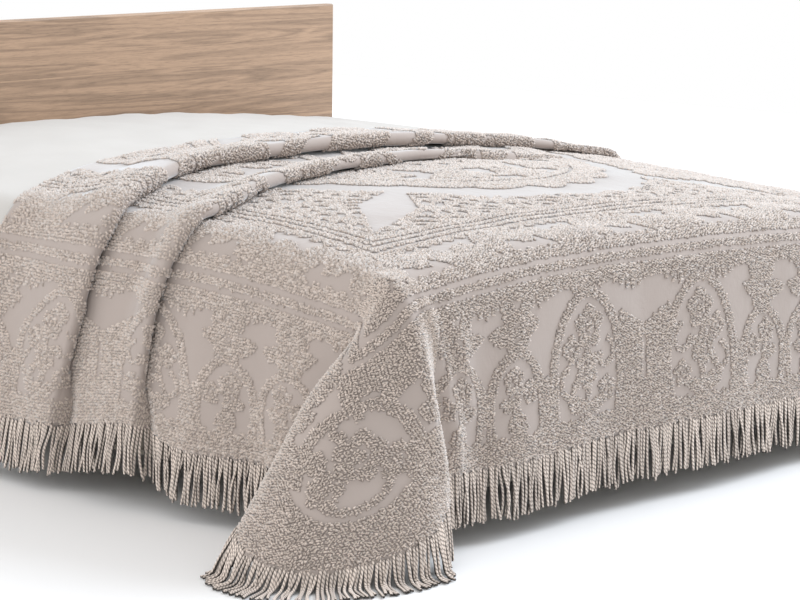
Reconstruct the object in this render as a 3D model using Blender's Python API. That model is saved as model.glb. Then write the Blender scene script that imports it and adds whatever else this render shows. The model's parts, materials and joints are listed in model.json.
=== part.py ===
"""A tufted chenille bedspread with a cord fringe, draped over a plain king-size bed.

Metres, +Z up. While the pieces are made, x runs across the bed from the near long side of the
mattress, y runs from its foot to its head, and the floor is at z = 0. The last step moves
everything so that the origin lies under the middle of the whole object.
"""

import math

import bmesh
import bpy
from mathutils import Vector

# The bed.
MATTRESS_WIDTH = 1.93
MATTRESS_LENGTH = 2.03
MATTRESS_BOTTOM = 0.27
BASE_BOTTOM = 0.09
BASE_INSET = 0.015
LEG_RADIUS = 0.03
LEG_INSET = 0.16
HEADBOARD_TOP = 0.853
HEADBOARD_BOTTOM = 0.18
HEADBOARD_THICKNESS = 0.028
HEADBOARD_OVERHANG = 0.037
POST_WIDTH = 0.07
POST_THICKNESS = 0.04
POST_INSET = 0.30
POST_TOP = 0.753

# Clearances.
SEAT_GAP = 0.0003  # between pieces that rest on each other
EDGE_CLEARANCE = 0.0022  # between the cloth and the mattress's edges
PLEAT_CLEARANCE = 0.002  # under the pleats, where the cloth lies a little loose

# The cloth.
CLOTH = 0.003
EDGE_INSET = 0.095  # the cloth starts to bend this far inside the mattress's edge
BEND_RADIUS = EDGE_INSET + EDGE_CLEARANCE + CLOTH / 2
SKIRT = 0.455  # from the start of the bend down to the hem, measured along the cloth
SIDE_FLARE = math.radians(4.0)
FOOT_FLARE = math.radians(2.4)
HALF_TOP = MATTRESS_WIDTH / 2 - EDGE_INSET
LAYER = 0.010  # between the middles of two layers in a pleat
CORNER_DROOP = 0.025
DROOP_REACH = 0.28

# The fringe.
FRINGE_LENGTH = 0.100
FRINGE_THICKNESS = 0.003
FRINGE_GAP = 0.0009  # under the hem, whose edge twists where it turns
FRINGE_HEADING = 0.008
TOOTH_WIDTH = 0.084
TOOTH_GAP = 0.006
FRINGE_FLOOR = 0.0022  # height of the middle of a cord that lies on the floor

# Steps of the faceted sheet.
BEND_STEPS = 4
SKIRT_STEPS = 5
TOP_STEPS = 11
FOOT_PANEL_STEPS = 4
HEAD_PANEL_STEPS = 3
CORNER_STEPS = 15


def table(columns, *rows):
    """A short table with named columns."""
    names = columns.split()
    return [dict(zip(names, row)) for row in rows]


# Height of the made-up bed under the cloth, at the two long edges and along the middle.
BED_TOP = table(
    "y near middle far",
    (0.00, 0.530, 0.533, 0.474),
    (0.50, 0.553, 0.578, 0.482),
    (1.00, 0.560, 0.602, 0.512),
    (1.50, 0.568, 0.618, 0.545),
    (2.03, 0.570, 0.620, 0.555),
)

# The two pleats and the head hem, by distance across the bed from its middle, measured along the
# cloth: where each pleat's front lies, how far the cloth is folded back under it (negative where
# the fold opens into a wave), how high its roll stands, and where the head hem lies.
NEAR_EDGE = -HALF_TOP
FAR_EDGE = HALF_TOP
PLEATS = table(
    "across first first_lap first_roll second second_lap second_roll head",
    (NEAR_EDGE - 0.455, 0.880, -0.020, 0.026, 0.640, -0.015, 0.024, 1.20),
    (NEAR_EDGE - 0.330, 0.845, -0.004, 0.030, 0.627, 0.004, 0.026, 1.17),
    (NEAR_EDGE - 0.200, 0.800, 0.030, 0.032, 0.600, 0.025, 0.028, 1.13),
    (NEAR_EDGE - 0.080, 0.765, 0.060, 0.036, 0.560, 0.045, 0.030, 1.09),
    (NEAR_EDGE + 0.080, 0.850, 0.080, 0.040, 0.600, 0.060, 0.032, 1.16),
    (NEAR_EDGE + 0.300, 0.955, 0.090, 0.040, 0.700, 0.060, 0.034, 1.25),
    (-0.250, 0.985, 0.090, 0.038, 0.760, 0.050, 0.032, 1.30),
    (0.050, 1.000, 0.080, 0.038, 0.800, 0.020, 0.026, 1.34),
    (0.350, 1.000, 0.070, 0.034, 0.830, -0.030, 0.010, 1.38),
    (FAR_EDGE - 0.190, 0.990, 0.045, 0.028, 0.815, -0.030, 0.000, 1.42),
    (FAR_EDGE + 0.010, 0.975, 0.000, 0.014, 0.800, -0.030, 0.000, 1.42),
    (FAR_EDGE + 0.150, 0.970, -0.030, 0.002, 0.800, -0.030, 0.000, 1.42),
    (FAR_EDGE + 0.455, 0.970, -0.030, 0.000, 0.800, -0.030, 0.000, 1.42),
)

# Height of the hem along the two long sides.
HEM = table(
    "y near far",
    (0.10, 0.138, 0.140),
    (0.45, 0.134, 0.126),
    (0.58, 0.140, 0.128),
    (0.66, 0.166, 0.130),
    (0.80, 0.148, 0.126),
    (0.92, 0.130, 0.132),
    (1.42, 0.122, 0.128),
)
FOOT_HEM = table(
    "x height",
    (0.10, 0.142),
    (0.30, 0.138),
    (0.60, 0.148),
    (1.00, 0.147),
    (1.35, 0.144),
    (1.83, 0.142),
)

# Soft upright folds in the skirts: where, how wide, and how far they stand out or in.
NEAR_FOLDS = table(
    "place width out",
    (0.24, 0.07, 0.010),
    (0.36, 0.06, -0.008),
    (0.50, 0.05, 0.008),
    (0.74, 0.05, 0.010),
    (1.02, 0.07, -0.008),
)
FAR_FOLDS = table(
    "place width out",
    (0.26, 0.08, -0.010),
    (0.45, 0.08, 0.010),
    (0.72, 0.09, -0.008),
    (1.20, 0.09, 0.008),
)
FOOT_FOLDS = table(
    "place width out",
    (0.21, 0.05, -0.014),
    (0.32, 0.06, 0.006),
    (0.62, 0.09, -0.010),
    (0.95, 0.10, 0.008),
    (1.30, 0.10, -0.008),
    (1.62, 0.08, 0.008),
)

# The spare cloth of each foot corner hangs as a broad cone. From the long side (turn 0) round to
# the foot (turn 90): the bearing that the cloth takes from the corner, its lean from upright, and
# the height of its hem.
NEAR_CORNER = table(
    "turn bearing lean root",
    (0, 0, 4, 0.138),
    (10, -7, 11, 0.136),
    (19, -15, 23, 0.110),
    (28, -10, 34, 0.080),
    (37, 4, 36.5, 0.045),
    (48, 20, 34, 0.030),
    (60, 40, 27, 0.045),
    (70, 62, 21, 0.080),
    (80, 78, 10, 0.125),
    (90, 90, 2.4, 0.142),
)
FAR_CORNER = table(
    "turn bearing lean root",
    (0, 0, 4, 0.140),
    (12, -4, 10, 0.134),
    (23, 4, 24, 0.105),
    (34, 24, 33, 0.060),
    (45, 46, 34, 0.040),
    (56, 68, 33, 0.060),
    (67, 86, 24, 0.105),
    (78, 94, 10, 0.134),
    (90, 90, 2.4, 0.142),
)


def smooth(value):
    """0 below 0, 1 above 1, and an S between."""
    value = min(1.0, max(0.0, value))
    return value * value * (3 - 2 * value)


def read(rows, key, column, value):
    """One column of a table as a smooth curve through its rows."""
    last = len(rows) - 1
    i = 0
    while i < last - 1 and value > rows[i + 1][key]:
        i += 1
    before, low = rows[max(i - 1, 0)], rows[i]
    high, after = rows[i + 1], rows[min(i + 2, last)]
    span = high[key] - low[key]
    part = min(1.0, max(0.0, (value - low[key]) / span))
    low_slope = (high[column] - before[column]) / (high[key] - before[key]) * span
    high_slope = (after[column] - low[column]) / (after[key] - low[key]) * span
    blend = smooth(part)
    return (
        low[column] * (1 - blend)
        + high[column] * blend
        + low_slope * part * (1 - part) ** 2
        - high_slope * part * part * (1 - part)
    )


def bed_top(x, y):
    """Height of the middle of the cloth where it lies on the bed."""
    near, middle, far = (read(BED_TOP, "y", name, y) for name in ("near", "middle", "far"))
    u = x / MATTRESS_WIDTH
    height = near * (1 - u) * (1 - 2 * u) + 4 * middle * u * (1 - u) - far * u * (1 - 2 * u)
    for corner in (0, MATTRESS_WIDTH):
        reach = ((x - corner) ** 2 + y * y) / DROOP_REACH**2
        height -= CORNER_DROOP * math.exp(-reach)
    return height


def fall(along, lean, height, hem):
    """How far out and down the cloth has gone, and the angle it has turned, past the bend's start."""
    turned = math.pi / 2 - lean
    if along <= BEND_RADIUS * turned:
        angle = along / BEND_RADIUS
        return BEND_RADIUS * math.sin(angle), BEND_RADIUS * (1 - math.cos(angle)), angle
    bend_drop = BEND_RADIUS * (1 - math.cos(turned))
    part = (along - BEND_RADIUS * turned) / (SKIRT - BEND_RADIUS * turned)
    down = part * (height - hem - bend_drop)
    return BEND_RADIUS * math.sin(turned) + down * math.tan(lean), bend_drop + down, turned


def fold_out(rows, place, along):
    """How far the skirt's upright folds stand out, growing towards the hem."""
    size = sum(row["out"] * math.exp(-(((place - row["place"]) / row["width"]) ** 2)) for row in rows)
    return size * smooth(along / SKIRT) ** 1.5


def pleat_path(front, lap, roll):
    """(y, rise) through one pleat from its foot side: under the fold, back out, round the roll, on.

    Where the lap runs out, the folded section turns into a plain wave.
    """
    shut = smooth(lap / 0.02 + 0.5)
    lap = max(lap, 0.012)
    folded = [
        (-0.10, 0),
        (-0.05 + 0.3 * lap, 0),
        (-0.022 + 0.8 * lap, 0),
        (lap - 0.004, 0),
        (lap + 0.004, LAYER / 2),
        (lap - 0.002, LAYER),
        (lap * 0.5 + 0.001, LAYER),
        (lap * 0.15 + 0.003, LAYER),
    ]
    radius = max(roll - LAYER, 0.012) / 2
    for angle in (225, 180, 135, 90):
        turned = math.radians(angle)
        folded.append((0.012 + radius * math.cos(turned), LAYER + radius * (1 + math.sin(turned))))
    wave = [(-0.10, 0), (-0.065, 0), (-0.04, 0)]
    for i in range(9):
        wave.append((0.012 + (i / 8 - 1) * (0.024 + 0.6 * roll), roll * smooth(i / 8)))
    path = [
        (a[0] + (b[0] - a[0]) * shut, a[1] + (b[1] - a[1]) * shut) for a, b in zip(wave, folded)
    ]
    path += [(0.045, roll * 0.96), (0.10, roll * 0.72), (0.17, roll * 0.30), (0.26, 0)]
    return [(front + y, rise) for y, rise in path]


ROLL_TOP = 11  # the index of the roll's crest in pleat_path


def lengthwise_path(across):
    """(y, rise) of the cloth from the foot bend to the head hem, at one distance across the bed."""
    row = {name: read(PLEATS, "across", name, across) for name in PLEATS[0]}
    second = pleat_path(row["second"], row["second_lap"], row["second_roll"])
    first = pleat_path(row["first"], row["first_lap"], row["first_roll"])
    crest, tail = second[ROLL_TOP][0], second[-1][0]
    room = min(1.0, (first[0][0] - crest) / (tail - crest))
    second[ROLL_TOP:] = [(crest + (y - crest) * room, rise) for y, rise in second[ROLL_TOP:-1]]
    steps = FOOT_PANEL_STEPS
    panel = second[0][0] - EDGE_INSET
    path = [(EDGE_INSET + panel * i / steps, 0) for i in range(steps)] + second + first
    end = path[-1][0]
    panel = max(row["head"] - end, 0.02)
    steps = HEAD_PANEL_STEPS
    return path + [(end + panel * (i + 1) / steps, 0) for i in range(steps)]


def long_point(across, y, rise):
    """A point of the cloth on the top or a long side."""
    side = math.copysign(1, across)
    x = MATTRESS_WIDTH / 2 + side * min(abs(across), HALF_TOP)
    lift = PLEAT_CLEARANCE * smooth((y - 0.30) / 0.2)
    top = bed_top(x, y) + lift
    along = abs(across) - HALF_TOP
    if along <= 0:
        return x, y, top + rise
    name, folds = ("near", NEAR_FOLDS) if side < 0 else ("far", FAR_FOLDS)
    out, drop, angle = fall(along, SIDE_FLARE, top, read(HEM, "y", name, y))
    out += rise * math.sin(angle) + fold_out(folds, y, along)
    return x + side * out, y, top - drop + rise * math.cos(angle)


def foot_point(x, along):
    """A point of the cloth at the foot."""
    top = bed_top(x, EDGE_INSET)
    out, drop, _ = fall(along, FOOT_FLARE, top, read(FOOT_HEM, "x", "height", x))
    return x, EDGE_INSET - out - fold_out(FOOT_FOLDS, x, along), top - drop


def corner_point(rows, side, turn, along):
    """A point of the cone at a foot corner: side is -1 at the near side and 1 at the far side."""
    part = along / SKIRT
    spread = smooth((part - 0.15) / 0.45)
    bearing = math.radians(turn + (read(rows, "turn", "bearing", turn) - turn) * spread)
    flare = SIDE_FLARE + (FOOT_FLARE - SIDE_FLARE) * turn / 90
    lean = flare + (math.radians(read(rows, "turn", "lean", turn)) - flare) * smooth(part / 0.24)
    x = MATTRESS_WIDTH / 2 + side * HALF_TOP
    top = bed_top(x, EDGE_INSET)
    out, drop, _ = fall(along, lean, top, read(rows, "turn", "root", turn))
    return x + side * math.cos(bearing) * out, EDGE_INSET - math.sin(bearing) * out, top - drop


def skirt_steps():
    """Distances down the cloth, from the bend's start to the hem."""
    bend = BEND_RADIUS * math.pi / 2
    steps = [bend * (i + 1) / BEND_STEPS for i in range(BEND_STEPS)]
    return steps + [bend + (SKIRT - bend) * (i + 1) / SKIRT_STEPS for i in range(SKIRT_STEPS)]


def finish(colour, roughness, name):
    """A plain Principled material."""
    material = bpy.data.materials.new(name)
    material.use_nodes = True
    shader = material.node_tree.nodes["Principled BSDF"]
    shader.inputs["Base Color"].default_value = (*colour, 1)
    shader.inputs["Roughness"].default_value = roughness
    shader.inputs["Metallic"].default_value = 0.0
    return material


def add_object(name, bm, material, smooth_shading=False):
    """Turns a bmesh into a named object in the scene."""
    mesh = bpy.data.meshes.new(name)
    bm.to_mesh(mesh)
    bm.free()
    if smooth_shading:
        mesh.shade_smooth()
    mesh.materials.append(material)
    piece = bpy.data.objects.new(name, mesh)
    bpy.context.scene.collection.objects.link(piece)
    return piece


def thicken(middle, normals, thickness):
    """A closed solid from a sheet's middle surface, half its thickness to each side."""
    bmesh.ops.triangulate(middle, faces=middle.faces, quad_method="FIXED")
    solid = bmesh.new()
    points = [vertex.co.copy() for vertex in middle.verts]
    sides = [
        [solid.verts.new(point + normal * half) for point, normal in zip(points, normals)]
        for half in (thickness / 2, -thickness / 2)
    ]
    middle.verts.index_update()
    for face in middle.faces:
        corners = [vertex.index for vertex in face.verts]
        solid.faces.new([sides[0][i] for i in corners])
        solid.faces.new([sides[1][i] for i in reversed(corners)])
    for edge in middle.edges:
        if edge.is_boundary:
            start = edge.link_loops[0].vert.index
            end = edge.link_loops[0].link_loop_next.vert.index
            solid.faces.new([sides[0][end], sides[0][start], sides[1][start], sides[1][end]])
    middle.free()
    return solid


def add_faces(bm, lower, upper):
    """Quads between two lines of vertices, with triangles where they share one."""
    for a, b, c, d in zip(lower, lower[1:], upper[1:], upper):
        corners = [vertex for i, vertex in enumerate((a, b, c, d)) if vertex not in (a, b, c, d)[:i]]
        bm.faces.new(corners)


def top_distances():
    """Distances across the bed of the lines that run along its top."""
    return [-HALF_TOP + 2 * HALF_TOP * i / TOP_STEPS for i in range(TOP_STEPS + 1)]


def make_cloth(material):
    """The spread. Returns its hem: each point, the way the cloth runs there, and its normal."""
    bm = bmesh.new()
    down = skirt_steps()
    far = [HALF_TOP + step for step in down]
    across = [-distance for distance in reversed(far)] + top_distances() + far
    lines = [
        [bm.verts.new(long_point(place, *step)) for step in lengthwise_path(place)]
        for place in across
    ]
    for line, following in zip(lines, lines[1:]):
        add_faces(bm, following, line)
    near_edge = len(down)
    top = lines[near_edge : near_edge + TOP_STEPS + 1]
    foot = []
    for line in top:
        foot.append([line[0]] + [bm.verts.new(foot_point(line[0].co.x, step)) for step in down])
    for line, following in zip(foot, foot[1:]):
        add_faces(bm, line, following)

    cones = []
    for side, rows in ((-1, NEAR_CORNER), (1, FAR_CORNER)):
        if side < 0:
            cone = [[lines[near_edge - step][0] for step in range(near_edge + 1)]]
        else:
            cone = [[lines[-near_edge - 1 + step][0] for step in range(near_edge + 1)]]
        apex = cone[0][0]
        for i in range(1, CORNER_STEPS):
            turn = 90 * i / CORNER_STEPS
            cone.append([apex] + [bm.verts.new(corner_point(rows, side, turn, step)) for step in down])
        cone.append(foot[0] if side < 0 else foot[-1])
        for line, following in zip(cone, cone[1:]):
            add_faces(bm, *((line, following) if side < 0 else (following, line)))
        cones.append(cone)

    bm.normal_update()
    edge = [(line[-1], line[-2]) for line in cones[0][1:] + foot[1:-1] + cones[1][:0:-1]]
    near_hem = list(zip(reversed(lines[0]), reversed(lines[1])))
    far_hem = list(zip(lines[-1], lines[-2]))
    hem = [
        (end.co.copy(), (end.co - before.co).normalized(), end.normal.copy())
        for end, before in near_hem + edge + far_hem
    ]
    normals = [vertex.normal.copy() for vertex in bm.verts]
    add_object("bedspread", thicken(bm, normals, CLOTH), material, smooth_shading=True)
    return hem


def hang(root, direction, normal, distance):
    """A point of a cord this far below the hem, and its normal. What reaches the floor lies on it."""
    reach = (FRINGE_FLOOR - root.z) / direction.z if direction.z < 0 else distance
    if distance <= reach:
        return root + direction * distance, normal
    flat = Vector((direction.x, direction.y, 0)).normalized()
    upright = (normal - flat * normal.dot(flat)).normalized()
    return root + direction * reach + flat * (distance - reach), upright


def snap(cut, places):
    """Moves a cut in the comb onto a corner of the hem that is very near."""
    nearest = min(places, key=lambda place: abs(place - cut))
    return nearest if abs(nearest - cut) < TOOTH_GAP / 3 else cut


def make_fringe(hem, material):
    """The cord fringe as one comb, edge to edge with the hem."""
    places = [0.0]
    for before, after in zip(hem, hem[1:]):
        places.append(places[-1] + (after[0] - before[0]).length)
    teeth = round(places[-1] / (TOOTH_WIDTH + TOOTH_GAP))
    pitch = places[-1] / teeth
    ends = [pitch * i for i in range(teeth + 1)]
    starts = [end - TOOTH_GAP for end in ends[1:-1]]
    cuts = [snap(cut, places) for cut in sorted(ends + starts)]
    depths = (FRINGE_GAP, FRINGE_GAP + FRINGE_HEADING, FRINGE_LENGTH * 0.55, FRINGE_LENGTH)
    bm = bmesh.new()
    normals = []
    columns = []
    for place in sorted(set(cuts + places)):
        i = min(sum(1 for start in places if start <= place), len(places) - 1)
        part = (place - places[i - 1]) / (places[i] - places[i - 1])
        root, direction, normal = (a.lerp(b, part) for a, b in zip(hem[i - 1], hem[i]))
        points = [hang(root, direction, normal, depth) for depth in depths]
        columns.append((place, [bm.verts.new(point) for point, _ in points]))
        normals += [facing for _, facing in points]
    for (place, column), (following, other) in zip(columns, columns[1:]):
        passed = sum(1 for cut in cuts if cut < (place + following) / 2)
        levels = len(depths) if passed % 2 == 1 else 2
        add_faces(bm, column[:levels], other[:levels])
    loose = [vertex for vertex in bm.verts if not vertex.link_faces]
    normals = [facing for vertex, facing in zip(bm.verts, normals) if vertex.link_faces]
    bmesh.ops.delete(bm, geom=loose, context="VERTS")
    add_object("fringe", thicken(bm, normals, FRINGE_THICKNESS), material)


def make_mattress(material):
    """The mattress, whose crowned top carries the spread, with rounded edges and corners."""
    bm = bmesh.new()
    rows = []
    for place in top_distances():
        x = MATTRESS_WIDTH / 2 + place
        path = [y for y, _ in lengthwise_path(place)][: FOOT_PANEL_STEPS + 1]
        head = MATTRESS_LENGTH - EDGE_INSET
        steps = 7
        path += [path[-1] + (head - path[-1]) * (i + 1) / steps for i in range(steps)]
        under = CLOTH / 2 + SEAT_GAP
        rows.append([bm.verts.new((x, y, bed_top(x, y) - under)) for y in path])
    for row, following in zip(rows, rows[1:]):
        add_faces(bm, following, row)
    bmesh.ops.triangulate(bm, faces=bm.faces, quad_method="FIXED")

    ring = []
    edges = (
        ([row[0] for row in rows], -90),
        (rows[-1], 0),
        ([row[-1] for row in reversed(rows)], 90),
        (rows[0][::-1], 180),
    )
    for vertices, facing in edges:
        ring += [(vertices[0], facing - 45), (vertices[0], facing - 22.5)]
        ring += [(vertex, facing) for vertex in vertices]
        ring += [(vertices[-1], facing + 22.5)]
    levels = [[vertex for vertex, _ in ring]]
    for step in range(1, BEND_STEPS + 1):
        angle = math.pi / 2 * step / BEND_STEPS
        gap = SEAT_GAP + (EDGE_CLEARANCE - SEAT_GAP) * smooth(step / 2)
        radius = BEND_RADIUS - CLOTH / 2 - gap
        out = radius * math.sin(angle)
        drop = radius * (1 - math.cos(angle)) + gap - SEAT_GAP
        levels.append(mattress_ring(bm, ring, out, drop, None))
    levels.append(mattress_ring(bm, ring, out, 0, MATTRESS_BOTTOM))
    for level, lower in zip(levels, levels[1:]):
        add_faces(bm, lower + lower[:1], level + level[:1])
    bm.faces.new(list(reversed(levels[-1])))
    bmesh.ops.recalc_face_normals(bm, faces=bm.faces)
    return add_object("mattress", bm, material, smooth_shading=True)


def mattress_ring(bm, ring, out, drop, height):
    """One ring of vertices round the mattress."""
    vertices = []
    for vertex, facing in ring:
        x = vertex.co.x + out * math.cos(math.radians(facing))
        y = vertex.co.y + out * math.sin(math.radians(facing))
        z = vertex.co.z - drop if height is None else height
        vertices.append(bm.verts.new((x, y, z)))
    return vertices


def make_box(name, low, high, edge, material):
    """A board or box between two corners, with eased edges."""
    bm = bmesh.new()
    bmesh.ops.create_cube(bm, size=1)
    size = [b - a for a, b in zip(low, high)]
    bmesh.ops.scale(bm, vec=size, verts=bm.verts)
    bmesh.ops.translate(bm, vec=[(a + b) / 2 for a, b in zip(low, high)], verts=bm.verts)
    box = add_object(name, bm, material)
    bevel = box.modifiers.new("eased edges", "BEVEL")
    bevel.width = edge
    bevel.segments = 2
    return box


def make_leg(name, x, y, material):
    """A round leg under the base."""
    bm = bmesh.new()
    height = BASE_BOTTOM - SEAT_GAP
    bmesh.ops.create_cone(
        bm, cap_ends=True, segments=20, radius1=LEG_RADIUS * 0.8, radius2=LEG_RADIUS, depth=height
    )
    bmesh.ops.translate(bm, vec=(x, y, height / 2), verts=bm.verts)
    leg = add_object(name, bm, material, smooth_shading=True)
    leg.data.set_sharp_from_angle(angle=math.radians(40))


def make_bed(cover, fabric, oak):
    """The plain bed that the spread falls over."""
    make_mattress(cover)
    far_x = MATTRESS_WIDTH - BASE_INSET
    make_box(
        "bed_base",
        (BASE_INSET, BASE_INSET, BASE_BOTTOM),
        (far_x, MATTRESS_LENGTH - SEAT_GAP, MATTRESS_BOTTOM - SEAT_GAP),
        0.008,
        fabric,
    )
    ends = (("foot", LEG_INSET), ("head", MATTRESS_LENGTH - LEG_INSET))
    sides = (("near", LEG_INSET), ("far", MATTRESS_WIDTH - LEG_INSET))
    for end, y in ends:
        for side, x in sides:
            make_leg(f"leg_{end}_{side}", x, y, oak)
    front = MATTRESS_LENGTH + SEAT_GAP
    back = front + HEADBOARD_THICKNESS
    make_box(
        "headboard",
        (-HEADBOARD_OVERHANG, front, HEADBOARD_BOTTOM),
        (MATTRESS_WIDTH + HEADBOARD_OVERHANG, back, HEADBOARD_TOP),
        0.004,
        oak,
    )
    for side, x in (("near", POST_INSET), ("far", MATTRESS_WIDTH - POST_INSET)):
        make_box(
            f"headboard_post_{side}",
            (x - POST_WIDTH / 2, back + SEAT_GAP, 0),
            (x + POST_WIDTH / 2, back + SEAT_GAP + POST_THICKNESS, POST_TOP),
            0.003,
            oak,
        )


def centre_over_origin(pieces):
    """Moves every piece so that the origin is under the middle of the whole object's box."""
    bpy.context.view_layer.update()
    graph = bpy.context.evaluated_depsgraph_get()
    corners = []
    for piece in pieces:
        evaluated = piece.evaluated_get(graph)
        corners += [vertex.co.copy() for vertex in evaluated.to_mesh().vertices]
        evaluated.to_mesh_clear()
    shift = [-(min(c[i] for c in corners) + max(c[i] for c in corners)) / 2 for i in (0, 1)]
    for piece in pieces:
        piece.location = (*shift, 0)


def main():
    for old in list(bpy.data.objects):
        bpy.data.objects.remove(old)
    chenille = finish((0.62, 0.54, 0.49), 0.95, "natural cotton chenille")
    cord = finish((0.60, 0.52, 0.47), 0.95, "twisted cotton cord")
    cover = finish((0.85, 0.86, 0.87), 0.9, "white fitted cover")
    fabric = finish((0.55, 0.53, 0.50), 0.9, "base fabric")
    oak = finish((0.60, 0.42, 0.26), 0.5, "light oak")
    hem = make_cloth(chenille)
    make_fringe(hem, cord)
    make_bed(cover, fabric, oak)
    centre_over_origin(list(bpy.context.scene.collection.objects))


main()
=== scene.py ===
"""The looks of a tufted chenille bedspread with a cord fringe, draped over a plain king-size bed.

Metres, +Z up. The cloth is worked out in the bed's own coordinates: x runs across the bed from
the near long side of the mattress, y runs from its foot to its head, and the floor is at z = 0.
A place on the cloth is also known by its flat coordinates, as it was cut: s runs across it from
the middle, and t runs from the bend at the foot of the bed towards the head, measured along it.
"""

import functools
import json
import math

import bmesh
import bpy
import numpy as np
from mathutils import Matrix, Vector

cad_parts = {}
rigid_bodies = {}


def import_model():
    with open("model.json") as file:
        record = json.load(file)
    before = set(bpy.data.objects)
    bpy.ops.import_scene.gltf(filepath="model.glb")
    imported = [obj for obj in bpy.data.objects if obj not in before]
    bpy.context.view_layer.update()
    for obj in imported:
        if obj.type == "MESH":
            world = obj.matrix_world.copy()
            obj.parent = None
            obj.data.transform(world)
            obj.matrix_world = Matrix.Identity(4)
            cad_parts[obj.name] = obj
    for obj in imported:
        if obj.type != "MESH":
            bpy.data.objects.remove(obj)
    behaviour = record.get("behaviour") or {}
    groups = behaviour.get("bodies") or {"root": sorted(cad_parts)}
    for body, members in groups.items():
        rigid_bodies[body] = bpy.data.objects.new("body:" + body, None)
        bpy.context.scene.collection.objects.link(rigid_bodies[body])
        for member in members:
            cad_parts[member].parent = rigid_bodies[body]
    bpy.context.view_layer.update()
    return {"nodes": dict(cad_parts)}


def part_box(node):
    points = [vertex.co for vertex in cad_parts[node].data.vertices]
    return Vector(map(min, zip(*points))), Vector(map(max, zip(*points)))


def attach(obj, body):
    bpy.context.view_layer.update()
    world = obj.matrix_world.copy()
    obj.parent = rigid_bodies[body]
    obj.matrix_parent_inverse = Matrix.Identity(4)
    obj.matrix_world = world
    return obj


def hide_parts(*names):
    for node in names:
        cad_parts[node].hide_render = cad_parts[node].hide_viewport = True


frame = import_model()

bl_info = {
    "name": "Chenille bedspread",
    "version": (1, 0, 0),
    "blender": (4, 5, 0),
    "location": "3D View > Sidebar > Bedspread",
    "description": "A tufted chenille bedspread with a cord fringe, draped over a plain bed",
    "category": "Object",
}

MM = 0.001
MATTRESS_LOW, MATTRESS_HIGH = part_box("mattress")
BED_CORNER = Vector((MATTRESS_LOW.x, MATTRESS_LOW.y, 0))

# The bed and the drape of the cloth, as its solids have them.
MATTRESS_WIDTH = MATTRESS_HIGH.x - MATTRESS_LOW.x
MATTRESS_LENGTH = MATTRESS_HIGH.y - MATTRESS_LOW.y
EDGE_INSET = 0.095  # the cloth starts to bend this far inside the mattress's edge
EDGE_CLEARANCE = 0.0022
PLEAT_CLEARANCE = 0.002
CLOTH = 0.003  # thickness of the solid, whose middle the drape follows
BEND_RADIUS = EDGE_INSET + EDGE_CLEARANCE + CLOTH / 2
SKIRT = 0.455  # from the start of the bend down to the hem, measured along the cloth
SIDE_FLARE = math.radians(4.0)
FOOT_FLARE = math.radians(2.4)
HALF_TOP = MATTRESS_WIDTH / 2 - EDGE_INSET
HALF_CLOTH = HALF_TOP + SKIRT
LAYER = 0.010  # from one layer of a folded pleat to the next
CORNER_DROOP = 0.025  # how far the top sinks at each foot corner
DROOP_REACH = 0.28


def table(columns, *rows):
    """A short table with named columns."""
    names = columns.split()
    return [dict(zip(names, row)) for row in rows]


# Height of the cloth where it lies on the bed, along its two long edges and its middle.
BED_TOP = table(
    "y near middle far",
    (0.00, 0.530, 0.533, 0.474),
    (0.50, 0.553, 0.578, 0.482),
    (1.00, 0.560, 0.602, 0.512),
    (1.50, 0.568, 0.618, 0.545),
    (2.03, 0.570, 0.620, 0.555),
)

# The two pleats and the head hem, by distance across the cloth from its middle: where each
# pleat's front lies, how far the cloth is folded back under it (negative where the fold opens
# into a wave), how high its roll stands, and where the head hem lies.
NEAR_EDGE = -HALF_TOP
FAR_EDGE = HALF_TOP
PLEATS = table(
    "across first first_lap first_roll second second_lap second_roll head",
    (NEAR_EDGE - 0.455, 0.880, -0.020, 0.026, 0.640, -0.015, 0.024, 1.20),
    (NEAR_EDGE - 0.330, 0.845, 0.004, 0.030, 0.627, 0.008, 0.026, 1.17),
    (NEAR_EDGE - 0.200, 0.800, 0.030, 0.032, 0.600, 0.025, 0.028, 1.13),
    (NEAR_EDGE - 0.080, 0.765, 0.060, 0.036, 0.560, 0.045, 0.030, 1.09),
    (NEAR_EDGE + 0.080, 0.850, 0.080, 0.040, 0.600, 0.060, 0.032, 1.16),
    (NEAR_EDGE + 0.300, 0.955, 0.090, 0.040, 0.700, 0.060, 0.034, 1.25),
    (-0.250, 0.985, 0.090, 0.038, 0.760, 0.050, 0.032, 1.30),
    (0.050, 1.000, 0.080, 0.038, 0.800, 0.020, 0.026, 1.34),
    (0.350, 1.000, 0.070, 0.034, 0.830, -0.030, 0.010, 1.38),
    (FAR_EDGE - 0.190, 0.990, 0.045, 0.028, 0.815, -0.030, 0.000, 1.42),
    (FAR_EDGE + 0.010, 0.975, 0.000, 0.014, 0.800, -0.030, 0.000, 1.42),
    (FAR_EDGE + 0.150, 0.970, -0.030, 0.002, 0.800, -0.030, 0.000, 1.42),
    (FAR_EDGE + 0.455, 0.970, -0.030, 0.000, 0.800, -0.030, 0.000, 1.42),
)

# Height of the hem along the two long sides and the foot.
HEM = table(
    "y near far",
    (0.10, 0.138, 0.140),
    (0.45, 0.134, 0.126),
    (0.58, 0.140, 0.128),
    (0.66, 0.166, 0.130),
    (0.80, 0.148, 0.126),
    (0.92, 0.130, 0.132),
    (1.42, 0.122, 0.128),
)
FOOT_HEM = table(
    "x height",
    (0.10, 0.142),
    (0.30, 0.138),
    (0.60, 0.148),
    (1.00, 0.147),
    (1.35, 0.144),
    (1.83, 0.142),
)

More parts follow.
